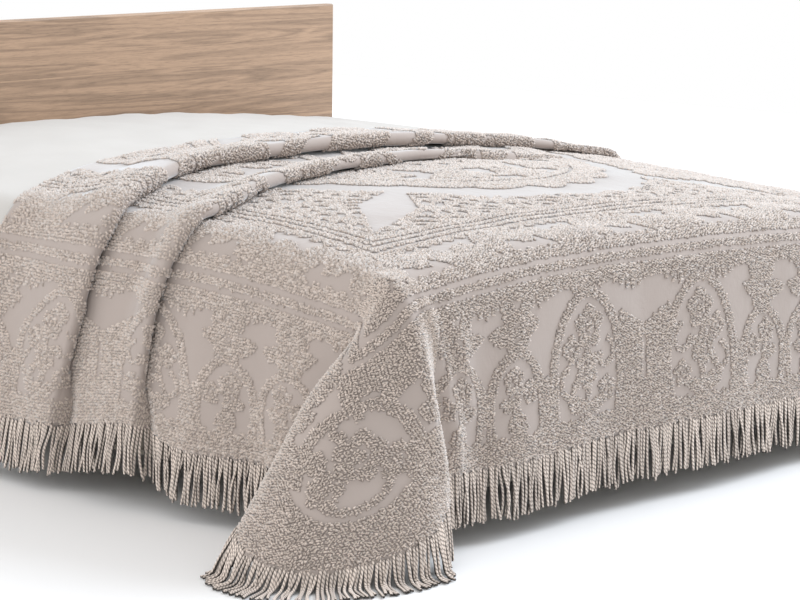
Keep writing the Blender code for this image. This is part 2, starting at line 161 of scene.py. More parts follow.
# Soft upright folds in the skirts: where, how wide, and how far they stand out or in.
NEAR_FOLDS = table(
    "place width out",
    (0.24, 0.07, 0.010),
    (0.36, 0.06, -0.008),
    (0.50, 0.05, 0.008),
    (0.74, 0.05, 0.010),
    (1.02, 0.07, -0.008),
)
FAR_FOLDS = table(
    "place width out",
    (0.26, 0.08, -0.010),
    (0.45, 0.08, 0.010),
    (0.72, 0.09, -0.008),
    (1.20, 0.09, 0.008),
)
FOOT_FOLDS = table(
    "place width out",
    (0.21, 0.05, -0.014),
    (0.32, 0.06, 0.006),
    (0.62, 0.09, -0.010),
    (0.95, 0.10, 0.008),
    (1.30, 0.10, -0.008),
    (1.62, 0.08, 0.008),
)

# The cones at the two foot corners, from the long side (turn 0) round to the foot (turn 90): the
# bearing that the cloth takes from the corner, its lean from upright, and its hem's height.
NEAR_CORNER = table(
    "turn bearing lean root",
    (0, 0, 4, 0.138),
    (10, -7, 11, 0.136),
    (19, -15, 23, 0.110),
    (28, -10, 34, 0.080),
    (37, 4, 36.5, 0.045),
    (48, 20, 34, 0.030),
    (60, 40, 27, 0.045),
    (70, 62, 21, 0.080),
    (80, 78, 10, 0.125),
    (90, 90, 2.4, 0.142),
)
FAR_CORNER = table(
    "turn bearing lean root",
    (0, 0, 4, 0.140),
    (12, -4, 10, 0.134),
    (23, 4, 24, 0.105),
    (34, 24, 33, 0.060),
    (45, 46, 34, 0.040),
    (56, 68, 33, 0.060),
    (67, 86, 24, 0.105),
    (78, 94, 10, 0.134),
    (90, 90, 2.4, 0.142),
)

# How finely the visible cloth is divided: steps across the top, round the bend, down the skirt
# and round a corner, and the steps between one station of the lengthwise path and the next.
TOP_STEPS = 116
BEND_STEPS = 10
SKIRT_STEPS = 20
CORNER_STEPS = 44
FOOT_PANEL = 4
HEAD_PANEL = 3
PLEAT_DIVISIONS = (5, 5, 4, 2, 2, 3, 3, 2, 2, 2, 2, 3, 4, 5, 6)
PLEAT_STATIONS = len(PLEAT_DIVISIONS)
STATION_STEPS = (8,) * FOOT_PANEL + PLEAT_DIVISIONS[:-1] + (5,) + PLEAT_DIVISIONS + (4,) * HEAD_PANEL
ROLL_TOP = 11  # the index of the roll's crest in pleat_path
# Under a pleat's roll: a share of the lap, a distance beyond it, and how many layers lie below.
PLEAT_LAYERS = (
    (0.3, -0.05, 0),
    (0.8, -0.022, 0),
    (1, -0.004, 0),
    (1, 0.004, 0.5),
    (1, -0.002, 1),
    (0.5, 0.001, 1),
    (0.15, 0.003, 1),
)

# Soft creases: where they start and end in flat coordinates, how wide they are, and how far they
# stand out (a ridge) or in (a trough).
CREASES = table(
    "s t to_s to_t width out",
    (-0.90, 0.02, -1.02, -0.10, 0.030, 0.004),
    (-0.93, 0.16, -1.16, 0.05, 0.035, -0.003),
    (-0.98, 0.30, -1.26, 0.34, 0.045, 0.004),
    (-0.90, 0.42, -1.22, 0.50, 0.040, -0.004),
    (-0.60, 0.40, -0.95, 0.22, 0.045, 0.003),
    (-0.40, 0.10, -0.70, 0.30, 0.050, -0.003),
    (-0.30, 0.25, 0.15, 0.18, 0.055, 0.004),
    (0.10, 0.40, 0.55, 0.50, 0.060, 0.004),
    (0.40, 0.12, 0.80, 0.25, 0.060, -0.004),
    (0.72, -0.02, 0.60, -0.30, 0.035, 0.003),
    (-0.30, -0.06, -0.22, -0.36, 0.035, -0.003),
    (-0.62, -0.08, -0.70, -0.34, 0.026, 0.004),
    (0.20, -0.05, 0.26, -0.34, 0.040, 0.003),
    (0.30, 0.95, 0.70, 0.80, 0.060, 0.004),
    (-0.70, 0.95, -0.30, 1.05, 0.050, 0.003),
    (0.90, 0.30, 1.20, 0.22, 0.045, 0.004),
    (0.92, 0.62, 1.22, 0.60, 0.045, -0.004),
    (-0.80, 1.30, -1.20, 1.22, 0.040, 0.004),
    (-0.912, 0.14, -1.010, -0.60, 0.018, 0.015),
    (-0.870, -0.02, -0.880, -0.56, 0.034, -0.010),
    (-0.900, -0.06, -0.800, -0.52, 0.014, 0.012),
    (-0.840, -0.10, -0.750, -0.42, 0.014, 0.007),
)
SWELL = 0.0018  # the slow rise and fall that all the cloth has
TROUGH = 0.60  # how deep the trough before an open pleat is, as a share of the pleat's height
SMOOTHING_ROUNDS = 3
CONE_START = 0.15  # the share of the skirt below which a cone's cloth starts to turn
CONE_TURNING = 0.45  # the share over which it turns
CONE_LEANING = 0.24  # the share over which it comes to its lean
JOIN = 0.2  # the share of a cone, at each end, that is drawn to the line of its neighbour

# The tufted pattern, in distances from the hem: a plain hem, a dense band, a border of arches and
# flowers with a ragged dense edge, a double plain line, a band of leaves, tufted lines, and a
# ground with leafy corners round an oval medallion.
HEM_PLAIN = 0.005
DENSE_BAND = 0.050
BORDER_TOP = 0.314
DOUBLE_LINE = (0.338, 0.348, 0.364)  # the border's end, and the tufted line between the plain ones
LEAF_BAND = (0.376, 0.545)
TUFTED_LINES = ((0.556, 0.572), (0.583, 0.596), (0.606, 0.640))
SIDE_SHIFT = 0.05  # the sides' bands lie this much nearer the hem, squeezed towards it
ARCH_REPEAT = 0.955
ARCH_START = -0.25
TALL_ARCH = 0.180  # middles of the arches, from the line between two tall ones
LOW_ARCH = 0.396
CORNER_BORDER = 0.240
CORNER_MIDDLE = math.radians(52)
MEDALLION = (0.0, 1.165)
MEDALLION_HALF = (0.61, 0.82)
PLAIN_RING = (1.02, 1.13)

# The sprigs in the arches. Flowers: middle, radius, petals. Leaves: root, length, width, angle.
# Curls: middle, radius, start, turn, width.
TALL_SPRIG = {
    "flowers": (
        (-0.004, 0.228, 0.044, 5),
        (0.052, 0.190, 0.027, 4),
        (0.004, 0.148, 0.040, 6),
        (-0.062, 0.100, 0.028, 5),
    ),
    "leaves": ((0.0, 0.070, 0.070, 0.036, 16), (0.0, 0.062, 0.060, 0.032, 156)),
    "curls": ((-0.058, 0.172, 0.029, 90, 250, 0.013), (0.060, 0.124, 0.029, 90, -250, 0.013)),
}
LOW_SPRIG = {
    "flowers": ((0.010, 0.160, 0.030, 5), (-0.036, 0.134, 0.025, 5), (-0.004, 0.250, 0.044, 5)),
    "leaves": (
        (0.0, 0.108, 0.050, 0.030, 16),
        (0.0, 0.238, 0.078, 0.040, 14),
        (0.0, 0.242, 0.074, 0.038, 160),
        (0.008, 0.262, 0.064, 0.038, 66),
        (-0.010, 0.262, 0.064, 0.036, 124),
    ),
}
CORNER_SPRIG = {
    "flowers": ((0.004, 0.148, 0.038, 5), (0.056, 0.132, 0.027, 5), (-0.030, 0.102, 0.024, 5)),
    "leaves": (
        (-0.034, 0.128, 0.044, 0.034, 152),
        (-0.032, 0.134, 0.042, 0.026, 262),
        (-0.010, 0.118, 0.040, 0.026, 96),
    ),
    "curls": ((0.006, 0.128, 0.054, 222, 128, 0.012), (-0.026, 0.188, 0.022, 20, 250, 0.012)),
}
CORNER_SPRAY = (
    (0.136, 0.160, 0.066, 0.036, 52),
    (0.130, 0.160, 0.056, 0.034, 140),
    (0.136, 0.198, 0.066, 0.036, 52),
    (0.130, 0.198, 0.056, 0.034, 140),
)
STEM_LEAVES = ((-0.030, 0.0, 0.078, 0.040, 44), (0.008, 0.0, 0.050, 0.030, 70))

# The tufts: their shapes, how they stand, and where one piece of pile ends and the next begins.
TUFT_SEED = 41
TUFT_SHAPES = 5
TUFT_LENGTH = 0.0078
TUFT_WIDTH = 0.0058
TUFT_FACES = 6
MOST_FACES = 199_000  # in one piece
TUFT_LEAN = math.radians(24)
TUFT_TURN = math.radians(50)
TUFT_SIZES = (0.82, 1.18)
TUFT_TONES = (0.90, 1.10)
TUFT_JITTER = 0.26  # of the spacing
ROW_PITCH = 0.94  # of the spacing, from one tuft to the next in its row
CORNER_PITCH = 0.70  # of the spacing, where the cones spread the tufts apart
SMOOTHED_ROW = (0.0, 0.45, -0.9)  # the way that the pile of the near side is smoothed down
SMOOTHED_PILE_SHADE = (0.38, 0.84)  # the lift given to the smoothed pile's roots and tips, so that its painted root shade and tip light are weaker
TOP_SPLIT = 0.62  # distance from the foot

# The cords of the fringe, and the few per cent by which they differ.
CORD_SIDES = 6
CORD_STEPS = 13
CORD_TWIST = 2.5  # diameters to one turn of its strands
CORD_LENGTHS = 0.022
CORD_LEANS = 0.035
CORD_OUTS = 0.05
CORD_CURLS = 0.13
CORD_TONES = (0.80, 1.16)
CORD_WIDTHS = (0.88, 1.10)
CORD_ENDS = (0.8, 1.12, 0.78)  # how thick its root, the knot under it and its tip are

# The finishes, the mattress's cover, the base's welt, and the studio.
PILE_SHEEN = (0.74, 0.90, 1.0, 1.0)  # loose fibres catch the light cool and white
CLOTH_SHEEN = (0.88, 0.95, 1.0, 1.0)
COVER_GAP = 0.0075  # between the cover and the spread where it lies on it
COVER_STEPS = 52
WELT_RADIUS = 0.0030
FLOOR_HALF = 7.0
LAMP_DISTANCE = 12.0
LAMP_WIDTH = 8.0
KEY_FROM = (0.72, -0.22, 0.60)
SIDE_FROM = (-0.72, 0.52, 0.40)
CAMERA_AT = (-4.009, -3.632, 1.323)
CAMERA_TURN = (47.846, 8.808, 0.609)  # yaw, pitch and roll, in degrees
CAMERA_LENS = 137.1


def smooth(value):
    """0 below 0, 1 above 1, and an S between."""
    value = np.clip(value, 0.0, 1.0)
    return value * value * (3 - 2 * value)


def unit(vectors):
    """Vectors made one long."""
    return vectors / np.maximum(np.linalg.norm(vectors, axis=-1, keepdims=True), 1e-12)


def hermite(low, high, low_slope, high_slope, part):
    """A smooth curve from low to high, with its slopes at the two ends."""
    blend = smooth(part)
    curve = low * (1 - blend) + high * blend + low_slope * part * (1 - part) ** 2
    return curve - high_slope * part * part * (1 - part)


def read(rows, key, column, value):
    """One column of a table as a smooth curve through its rows."""
    keys, values = (np.array([row[name] for row in rows]) for name in (key, column))
    i = np.clip(np.searchsorted(keys, value, side="left") - 1, 0, len(rows) - 2)
    before, after = np.maximum(i - 1, 0), np.minimum(i + 2, len(rows) - 1)
    span = keys[i + 1] - keys[i]
    part = np.clip((value - keys[i]) / span, 0.0, 1.0)
    low_slope = (values[i + 1] - values[before]) / (keys[i + 1] - keys[before]) * span
    high_slope = (values[after] - values[i]) / (keys[after] - keys[i]) * span
    return hermite(values[i], values[i + 1], low_slope, high_slope, part)


def bed_top(x, y):
    """Height of the middle of the cloth where it lies on the bed."""
    near, middle, far = (read(BED_TOP, "y", name, y) for name in ("near", "middle", "far"))
    u = x / MATTRESS_WIDTH
    height = near * (1 - u) * (1 - 2 * u) + 4 * middle * u * (1 - u) - far * u * (1 - 2 * u)
    for corner in (0, MATTRESS_WIDTH):
        reach = ((x - corner) ** 2 + y * y) / DROOP_REACH**2
        height = height - CORNER_DROOP * np.exp(-reach)
    return height


def fall(along, lean, height, hem):
    """How far out and down the cloth has gone, and the angle it has turned, past the bend's start."""
    turned = math.pi / 2 - lean
    angle = np.clip(along / BEND_RADIUS, 0, turned)
    straight = BEND_RADIUS * turned
    part = np.clip((along - straight) / (SKIRT - straight), 0, None)
    down = part * (height - hem - BEND_RADIUS * (1 - np.cos(turned)))
    out = BEND_RADIUS * np.sin(angle) + down * np.tan(lean)
    return out, BEND_RADIUS * (1 - np.cos(angle)) + down, angle


def fold_out(rows, place, along):
    """How far the skirt's upright folds stand out, growing towards the hem."""
    size = sum(row["out"] * np.exp(-(((place - row["place"]) / row["width"]) ** 2)) for row in rows)
    return size * smooth(along / SKIRT) ** 1.5


def pleat_path(front, lap, roll):
    """Distances from the foot and rises, station by station, through one pleat on every line."""
    shut = smooth(lap / 0.02 + 0.8)
    lap = np.maximum(lap, 0.012)
    none = np.zeros_like(lap)
    folded = [(none - 0.10, none)]
    for share, beyond, layers in PLEAT_LAYERS:
        folded.append((lap * share + beyond, none + LAYER * layers))
    radius = np.maximum(roll - LAYER, 0.012) / 2
    for angle in (225, 180, 135, 90):
        turned = math.radians(angle)
        folded.append((0.012 + radius * math.cos(turned), LAYER + radius * (1 + math.sin(turned))))
    wave = [(none - 0.10, none), (none - 0.055, none), (none - 0.034, -0.16 * roll)]
    for i in range(9):
        dip = TROUGH * roll * (1 - smooth(i / 4))
        wave.append((0.012 + (i / 8 - 1) * (0.010 + 0.32 * roll), roll * smooth(i / 8) - dip))
    path = [(a[0] + (b[0] - a[0]) * shut, a[1] + (b[1] - a[1]) * shut) for a, b in zip(wave, folded)]
    for y, share in ((0.045, 0.96), (0.10, 0.72), (0.17, 0.30), (0.26, 0.0)):
        path.append((none + y, roll * share))
    return np.stack([front + y for y, _ in path], 1), np.stack([rise for _, rise in path], 1)


def through(values, lengths, steps):
    """Points on a smooth curve through each row of values that never overshoots them."""
    slopes = np.diff(values, axis=1) / lengths
    before, after = slopes[:, :-1], slopes[:, 1:]
    alike = before * after > 0
    inner = np.where(alike, 2 * before * after / np.where(alike, before + after, 1.0), 0.0)
    slopes = np.concatenate([slopes[:, :1], inner, slopes[:, -1:]], axis=1)
    piece = np.repeat(np.arange(len(steps)), steps)
    part = np.concatenate([np.arange(count) / count for count in steps])
    span = lengths[:, piece]
    low_slope, high_slope = slopes[:, piece] * span, slopes[:, piece + 1] * span
    curve = hermite(values[:, piece], values[:, piece + 1], low_slope, high_slope, part)
    return np.concatenate([curve, values[:, -1:]], axis=1)


def lengthwise_paths(across):
    """For every line along the cloth: distances from the foot, rises, and what a pleat hides."""
    row = {name: read(PLEATS, "across", name, across) for name in PLEATS[0] if name != "across"}
    second_y, second_rise = pleat_path(row["second"], row["second_lap"], row["second_roll"])
    first_y, first_rise = pleat_path(row["first"], row["first_lap"], row["first_roll"])
    crest, tail = second_y[:, ROLL_TOP : ROLL_TOP + 1], second_y[:, -1:]
    room = np.minimum(1.0, (first_y[:, :1] - crest) / (tail - crest))
    second_y[:, ROLL_TOP:] = crest + (second_y[:, ROLL_TOP:] - crest) * room
    foot = EDGE_INSET + (second_y[:, :1] - EDGE_INSET) * np.arange(FOOT_PANEL) / FOOT_PANEL
    end = first_y[:, -1:]
    panel = np.maximum(row["head"][:, None] - end, 0.02)
    head = end + panel * np.arange(1, HEAD_PANEL + 1) / HEAD_PANEL
    y = np.hstack([foot, second_y[:, :-1], first_y, head])
    rise = np.hstack([np.zeros_like(foot), second_rise[:, :-1], first_rise, np.zeros_like(head)])
    lengths = np.maximum(np.hypot(np.diff(y, axis=1), np.diff(rise, axis=1)), 1e-6)
    fine_y, fine_rise = (through(values, lengths, STATION_STEPS) for values in (y, rise))

    station = np.concatenate([[0], np.cumsum(STATION_STEPS)])
    hidden = np.zeros(fine_y.shape, bool)
    for start, front in ((FOOT_PANEL, row["second"]), (FOOT_PANEL + PLEAT_STATIONS, row["first"])):
        low, high = station[start], station[start + len(PLEAT_LAYERS)]
        hidden[:, low:high] = fine_y[:, low:high] > front[:, None] + 0.010
    return fine_y, fine_rise, hidden


def long_points(across, y, rise):
    """The cloth on the top and the two long sides."""
    across = across[:, None]
    side = np.sign(across)
    x = MATTRESS_WIDTH / 2 + side * np.minimum(np.abs(across), HALF_TOP)
    top = bed_top(x, y) + PLEAT_CLEARANCE * smooth((y - 0.30) / 0.2)
    along = np.maximum(np.abs(across) - HALF_TOP, 0)
    hem = np.where(side < 0, read(HEM, "y", "near", y), read(HEM, "y", "far", y))
    out, drop, angle = fall(along, SIDE_FLARE, top, hem)
    folds = np.where(side < 0, fold_out(NEAR_FOLDS, y, along), fold_out(FAR_FOLDS, y, along))
    out = out + rise * np.sin(angle) + folds
    return np.stack([x + side * out, y, top - drop + rise * np.cos(angle)], -1)


def foot_points(x, along):
    """The cloth at the foot."""
    x, along = np.meshgrid(x, along, indexing="ij")
    top = bed_top(x, EDGE_INSET)
    out, drop, _ = fall(along, FOOT_FLARE, top, read(FOOT_HEM, "x", "height", x))
    return np.stack([x, EDGE_INSET - out - fold_out(FOOT_FOLDS, x, along), top - drop], -1)


def corner_points(rows, side, turn, along):
    """The cone at a foot corner: side is -1 at the near side and 1 at the far side."""
    turn, along = np.meshgrid(turn, along, indexing="ij")
    part = along / SKIRT
    bearing = read(rows, "turn", "bearing", turn) - turn
    bearing = np.radians(turn + bearing * smooth((part - CONE_START) / CONE_TURNING))
    flare = SIDE_FLARE + (FOOT_FLARE - SIDE_FLARE) * turn / 90
    lean = flare + (np.radians(read(rows, "turn", "lean", turn)) - flare) * smooth(part / CONE_LEANING)
    x = MATTRESS_WIDTH / 2 + side * HALF_TOP
    top = bed_top(x, EDGE_INSET)
    out, drop, _ = fall(along, lean, top, read(rows, "turn", "root", turn))
    x, y = x + side * np.cos(bearing) * out, EDGE_INSET - np.sin(bearing) * out
    return np.stack([x, y, top - drop], -1)


def blend_ends(cone, first, last):
    """Turns the ends of a cone into the lines where it meets its neighbours."""
    share = np.linspace(0, 1, len(cone))[:, None, None]
    cone = cone + (first - cone[0]) * (1 - smooth(share / JOIN))
    return cone + (last - cone[-1]) * (1 - smooth((1 - share) / JOIN))


def quads(index, outward):
    """The faces of a grid of vertex numbers, of which a cone's tip repeats one."""
    around = [index[:-1, :-1], index[1:, :-1], index[1:, 1:], index[:-1, 1:]]
    return np.stack(around if outward else around[::-1], -1).reshape(-1, 4)


def relief(flat):
    """How far the creases and the swell lift the cloth."""
    s, t = flat[:, 0], flat[:, 1]
    out = SWELL * np.sin(s * 21 + 3 * np.sin(t * 9)) * np.sin(t * 17 + 2 * np.sin(s * 7))
    for row in CREASES:
        run = np.array([row["to_s"] - row["s"], row["to_t"] - row["t"]])
        length = np.hypot(*run)
        along = ((s - row["s"]) * run[0] + (t - row["t"]) * run[1]) / length
        off = ((s - row["s"]) * run[1] - (t - row["t"]) * run[0]) / length
        off = off + 0.012 * np.sin(along / length * math.pi)
        ends = smooth(along / (0.35 * length)) * smooth((length - along) / (0.35 * length))
        out = out + row["out"] * ends * np.exp(-((off / row["width"]) ** 2))
    return out


class Panel:
    """A grid of the cloth's vertices, with the two distances that find a place on it."""

    def __init__(self, index, places, depths, hidden=None):
        self.index = index
        self.places = places
        self.depths = np.broadcast_to(depths, index.shape)
        self.hidden = np.zeros(index.shape, bool) if hidden is None else hidden


class Drape:
    """The middle surface of the cloth: its vertices, flat coordinates, faces and panels."""

    def __init__(self):
        bend = np.arange(BEND_STEPS) * BEND_RADIUS * math.pi / 2 / BEND_STEPS
        skirt = np.linspace(BEND_RADIUS * math.pi / 2, SKIRT, SKIRT_STEPS + 1)
        down = np.concatenate([bend, skirt])
        top = np.linspace(-HALF_TOP, HALF_TOP, TOP_STEPS + 1)
        across = np.concatenate([-HALF_TOP - down[:0:-1], top, HALF_TOP + down[1:]])
        y, rise, hidden = lengthwise_paths(across)
        self.points, self.flat = np.empty((0, 3)), np.empty((0, 2))

        long = long_points(across, y, rise)
        steps = np.linalg.norm(np.diff(long, axis=1), axis=2)
        t = np.concatenate([np.zeros((len(across), 1)), np.cumsum(steps, axis=1)], axis=1)
        index = self.add(long, np.stack(np.broadcast_arrays(across[:, None], t), -1))
        self.long = Panel(index, across, t, hidden)

        edge = len(down) - 1
        foot = foot_points(top + MATTRESS_WIDTH / 2, down[1:])
        foot = self.add(foot, np.stack(np.meshgrid(top, -down[1:], indexing="ij"), -1))
        self.foot = Panel(np.hstack([index[edge : edge + TOP_STEPS + 1, :1], foot]), top, down)

        self.corners = []
        turn = np.linspace(0, 90, CORNER_STEPS + 1)
        sides = ((-1, NEAR_CORNER, index[edge::-1, 0], 0), (1, FAR_CORNER, index[-edge - 1 :, 0], -1))
        for side, rows, beside, foot_line in sides:
            foot = self.foot.index[foot_line]
            cone = corner_points(rows, side, turn, down[1:])
            cone = blend_ends(cone, self.points[beside[1:]], self.points[foot[1:]])
            radians, distance = np.meshgrid(np.radians(turn), down[1:], indexing="ij")
            s = side * (HALF_TOP + distance * np.cos(radians))
            inner = self.add(cone[1:-1], np.stack([s, -distance * np.sin(radians)], -1)[1:-1])
            inner = np.hstack([np.full((len(inner), 1), beside[0]), inner])
            self.corners.append(Panel(np.vstack([beside[None], inner, foot[None]]), turn, down))

        panels = ((self.long, True), (self.foot, False), (self.corners[0], False), (self.corners[1], True))
        self.faces = np.concatenate([quads(panel.index, outward) for panel, outward in panels])
        self.settle()

    def add(self, points, flat):
        """Adds a grid of vertices, and gives their numbers."""
        shape = points.shape[:2]
        index = len(self.points) + np.arange(shape[0] * shape[1]).reshape(shape)
        self.points = np.concatenate([self.points, points.reshape(-1, 3)])
        self.flat = np.concatenate([self.flat, np.broadcast_to(flat, (*shape, 2)).reshape(-1, 2)])
        return index

    def neighbours_mean(self, values):
        """The mean of each vertex's neighbours."""
        total, count = np.zeros_like(values), np.zeros((len(values), 1))
        for k in range(4):
            a, b = self.faces[:, k], self.faces[:, (k + 1) % 4]
            for here, there in ((a, b), (b, a)):
                np.add.at(total, here, values[there])
                np.add.at(count, here, 1)
        return total / count

    def vertex_normals(self):
        """Normals of the middle surface."""
        a, b, c, d = (self.points[self.faces[:, k]] for k in range(4))
        facing = np.cross(c - a, d - b)
        total = np.zeros_like(self.points)
        for k in range(4):
            np.add.at(total, self.faces[:, k], facing)
        return unit(total)

    def flat_area(self):
        """The area of the cloth as cut: each face's corners in flat coordinates."""
        a, b, c, d = (self.flat[self.faces[:, k]] for k in range(4))
        across, along = c - a, d - b
        return float(np.abs(across[:, 0] * along[:, 1] - across[:, 1] * along[:, 0]).sum() / 2)

    def settle(self):
        """Eases the joins between the panels, then adds the creases and the slow swell."""
        loose = np.ones((len(self.points), 1))
        loose[self.long.index[:, sum(STATION_STEPS[: FOOT_PANEL - 1]) :].ravel()] = 0
        loose[np.concatenate(self.hem_lines(0))] = 0
        for _ in range(SMOOTHING_ROUNDS):
            mean = self.neighbours_mean(self.points)
            self.points += (mean - self.points) * 0.5 * loose
        self.points += self.vertex_normals() * relief(self.flat)[:, None]
        self.normals = self.vertex_normals()

    def hem_lines(self, step):
        """Vertex numbers along the hem with the fringe, from the near head end round to the far one,
        or along the line that is so many steps in from it."""
        near, far = (panel.index[:, -1 - step] for panel in self.corners)
        foot = self.foot.index[1:, -1 - step]
        return [self.long.index[step, ::-1], near[1:], foot, far[-2::-1], self.long.index[-1 - step, 1:]]

    def find(self, panel, place, depth):
        """Points, normals and whether they are hidden, at places and depths on a panel."""
        i = np.clip(np.searchsorted(panel.places, place) - 1, 0, len(panel.places) - 2)
        part = ((place - panel.places[i]) / (panel.places[i + 1] - panel.places[i]))[:, None]
        rows = panel.depths[i] * (1 - part) + panel.depths[i + 1] * part
        j = np.clip((rows <= depth[:, None]).sum(1) - 1, 0, rows.shape[1] - 2)
        pick = np.arange(len(j))
        low, high = rows[pick, j], rows[pick, j + 1]
        deep = ((depth - low) / (high - low))[:, None]

        def mixed(values):
            near, far = (
                values[panel.index[line, j]] * (1 - deep) + values[panel.index[line, j + 1]] * deep
                for line in (i, i + 1)
            )
            return near * (1 - part) + far * part

        inside = (depth >= rows[:, 0]) & (depth <= rows[:, -1])
        return mixed(self.points), unit(mixed(self.normals)), panel.hidden[i, j] | ~inside


@functools.lru_cache(maxsize=1)
def drape():
    """The one drape that every piece of the spread follows."""
    return Drape()


def leaf(x, y, root_x, root_y, length, width, angle):
    """A pointed leaf from its root."""
    turned = math.radians(angle)
    u = (x - root_x) * math.cos(turned) + (y - root_y) * math.sin(turned)
    v = (y - root_y) * math.cos(turned) - (x - root_x) * math.sin(turned)
    half = width / 2 * np.sin(math.pi * np.clip(u / length, 0, 1)) ** 0.75
    return (u > 0) & (u < length) & (np.abs(v) < half)


def flower(x, y, centre_x, centre_y, radius, petals):
    """A round flower: scalloped petals, and a small plain ring round a dense eye."""
    u, v = x - centre_x, y - centre_y
    distance = np.hypot(u, v) / radius
    edge = 0.72 + 0.28 * np.abs(np.cos(np.arctan2(u, v) * petals / 2))
    return (distance < edge) & ~((distance > 0.26) & (distance < 0.40))


def curl(x, y, centre_x, centre_y, radius, start, turn, width):
    """A curled stem that winds in from radius to a dense tip, over turn degrees from start."""
    u, v = x - centre_x, y - centre_y
    angle = (np.degrees(np.arctan2(v, u)) - start) * math.copysign(1, turn) % 360
    line = radius * (1 - 0.45 * angle / 360)
    on_line = (np.abs(np.hypot(u, v) - line) < width / 2) & (angle < abs(turn))
    last = math.radians(start + turn)
    end = radius * (1 - 0.45 * abs(turn) / 360)
    return on_line | (np.hypot(u - end * math.cos(last), v - end * math.sin(last)) < width * 0.85)


def arch(x, y, base, half, height, band):
    """A round-headed arch that stands on its base and bulges a little."""

    def within(half_width, top):
        v = np.clip((y - base) / top, 0, 1)
        side = half_width * np.sqrt(1 - v**3.6) * (1 + 0.14 * np.sin(math.pi * v))
        return (y > base) & (y < base + top) & (np.abs(x) < side)

    return within(half, height) & ~within(half - band, height - band)


def sprig(x, y, flowers=(), leaves=(), curls=()):
    """Flowers, leaves and curls that grow together, each from a row of its own numbers."""
    found = np.zeros(x.shape, bool)
    for shape, rows in ((flower, flowers), (leaf, leaves), (curl, curls)):
        for row in rows:
            found |= shape(x, y, *row)
    return found


def repeated(place, length):
    """Distance from the middle of the nearest repeat."""
    return (place + length / 2) % length - length / 2


def arch_border(place, up):
    """The border of arches, two tall and then two low, each round a sprig of flowers, with a spray
    of leaves over the low ones and a ragged dense edge above."""
    x = np.abs(repeated(place - ARCH_START, ARCH_REPEAT))
    found = (x < 0.080) & (up < 0.214 + 0.5 * x) & ~((x < 0.006) & (up > 0.105) & (up < 0.190))
    found |= (x > 0.285) & (x < 0.325) & (up < 0.150)

    z = x - TALL_ARCH
    base = DENSE_BAND - 0.018
    found |= arch(z, up, base, 0.106, 0.272, 0.020) | sprig(z, up, **TALL_SPRIG)
    found |= (np.abs(z + 0.004 * np.cos(up * 50)) < 0.009) & (up > base) & (up < 0.21)

    x = x - LOW_ARCH
    base = DENSE_BAND - 0.002
    found |= arch(x, up, base, 0.074, 0.172, 0.019) | sprig(x, up, **LOW_SPRIG)
    found |= (np.hypot(x, up - 0.074) < 0.026) | (np.abs(x) < 0.008) & (up > base) & (up < 0.15)
    teeth = np.abs(np.sin(place * math.pi / 0.021)) ** 0.7 * (0.6 + 0.4 * np.cos(place * 43.3))
    return found | (up > BORDER_TOP - 0.030 * teeth)


def corner_border(place, up):
    """The arch at a rounded corner, with two flowers and a curl in it and a spray at each side."""
    found = (np.hypot(place / 0.086, (up - 0.136) / 0.072) > 1) & (up < 0.150)
    found |= arch(place - 0.004, up, 0.100, 0.080, 0.126, 0.018)
    found |= sprig(place, up, **CORNER_SPRIG) | sprig(np.abs(place), up, leaves=CORNER_SPRAY)
    found |= (place < -0.104) & (up < 0.205)
    found |= (place > 0.112 + 0.03 * smooth((up - 0.12) / 0.08)) & (up < 0.185)
    return found | (up > 0.226 + 0.010 * np.cos(place * 75))


def leaf_band(place, up):
    """A waving stem with broad leaves and a flower at each crest, between scalloped edges."""
    low, high = LEAF_BAND
    v = up - (low + high) / 2
    wave = 0.024 * np.sin(place * 2 * math.pi / 0.30)
    found = np.abs(v - wave) < 0.009
    x = repeated(place, 0.075)
    for side in (-1, 1):
        found |= sprig(x, (v - wave) * side, leaves=STEM_LEAVES)
        found |= flower(repeated(place + 0.075 * side, 0.30), v, 0, -0.022 * side, 0.052, 6)
    scallop = 0.016 * np.abs(np.cos(place * math.pi / 0.034))
    return found | (up < low + 0.020 + scallop) | (up > high - 0.016 - scallop)


def medallion(s, t):
    """The oval medallion: a lobed outer band, a line, a wreath of flowers, and a rosette."""
    u, v = s - MEDALLION[0], t - MEDALLION[1]
    wide, long = MEDALLION_HALF
    q = np.hypot(u / wide, v / long)
    angle = np.arctan2(v / long, u / wide)
    found = (q < 0.985 + 0.035 * np.abs(np.cos(angle * 14))) & (q > 0.915)
    found |= (q > 0.870) & (q < 0.900)
    for i in range(16):
        turned = 2 * math.pi * (i + 0.5) / 16
        x, y = 0.75 * wide * math.cos(turned), 0.75 * long * math.sin(turned)
        found |= flower(u, v, x, y, 0.062, 6)
        facing = math.degrees(math.atan2(y, x))
        for lean in (-70, -28, 28, 70):
            found |= leaf(u, v, x * 1.04, y * 1.04, 0.100, 0.048, facing + lean)
            found |= leaf(u, v, x * 0.94, y * 0.94, 0.112, 0.048, facing + 180 + lean)
    found |= (q > 0.545) & (q < 0.600) | (q > 0.505) & (q < 0.530)
    petal = np.abs(np.cos(angle * 4))
    found |= (q < 0.30 + 0.17 * petal) & (q > 0.20 + 0.16 * petal)
    return found | (q < 0.14 + 0.05 * petal) | ((q < 0.42) & (q > 0.35) & (petal < 0.36))


def leafy_corner(u, v):
    """The dense leafy filling in a corner of the ground, with a plain pocket on its diagonal."""
    along, off = (u * 0.81 + v * 0.585) - 0.255, v * 0.81 - u * 0.585
    pocket = np.abs(along) / 0.235 + np.abs(off) / 0.062 < 1
    rows = np.sin(u * 96 + 2.0 * np.sin(v * 31)) * np.sin(v * 96 + 2.0 * np.sin(u * 31 + 1))
    return ~pocket & (rows > -0.30)


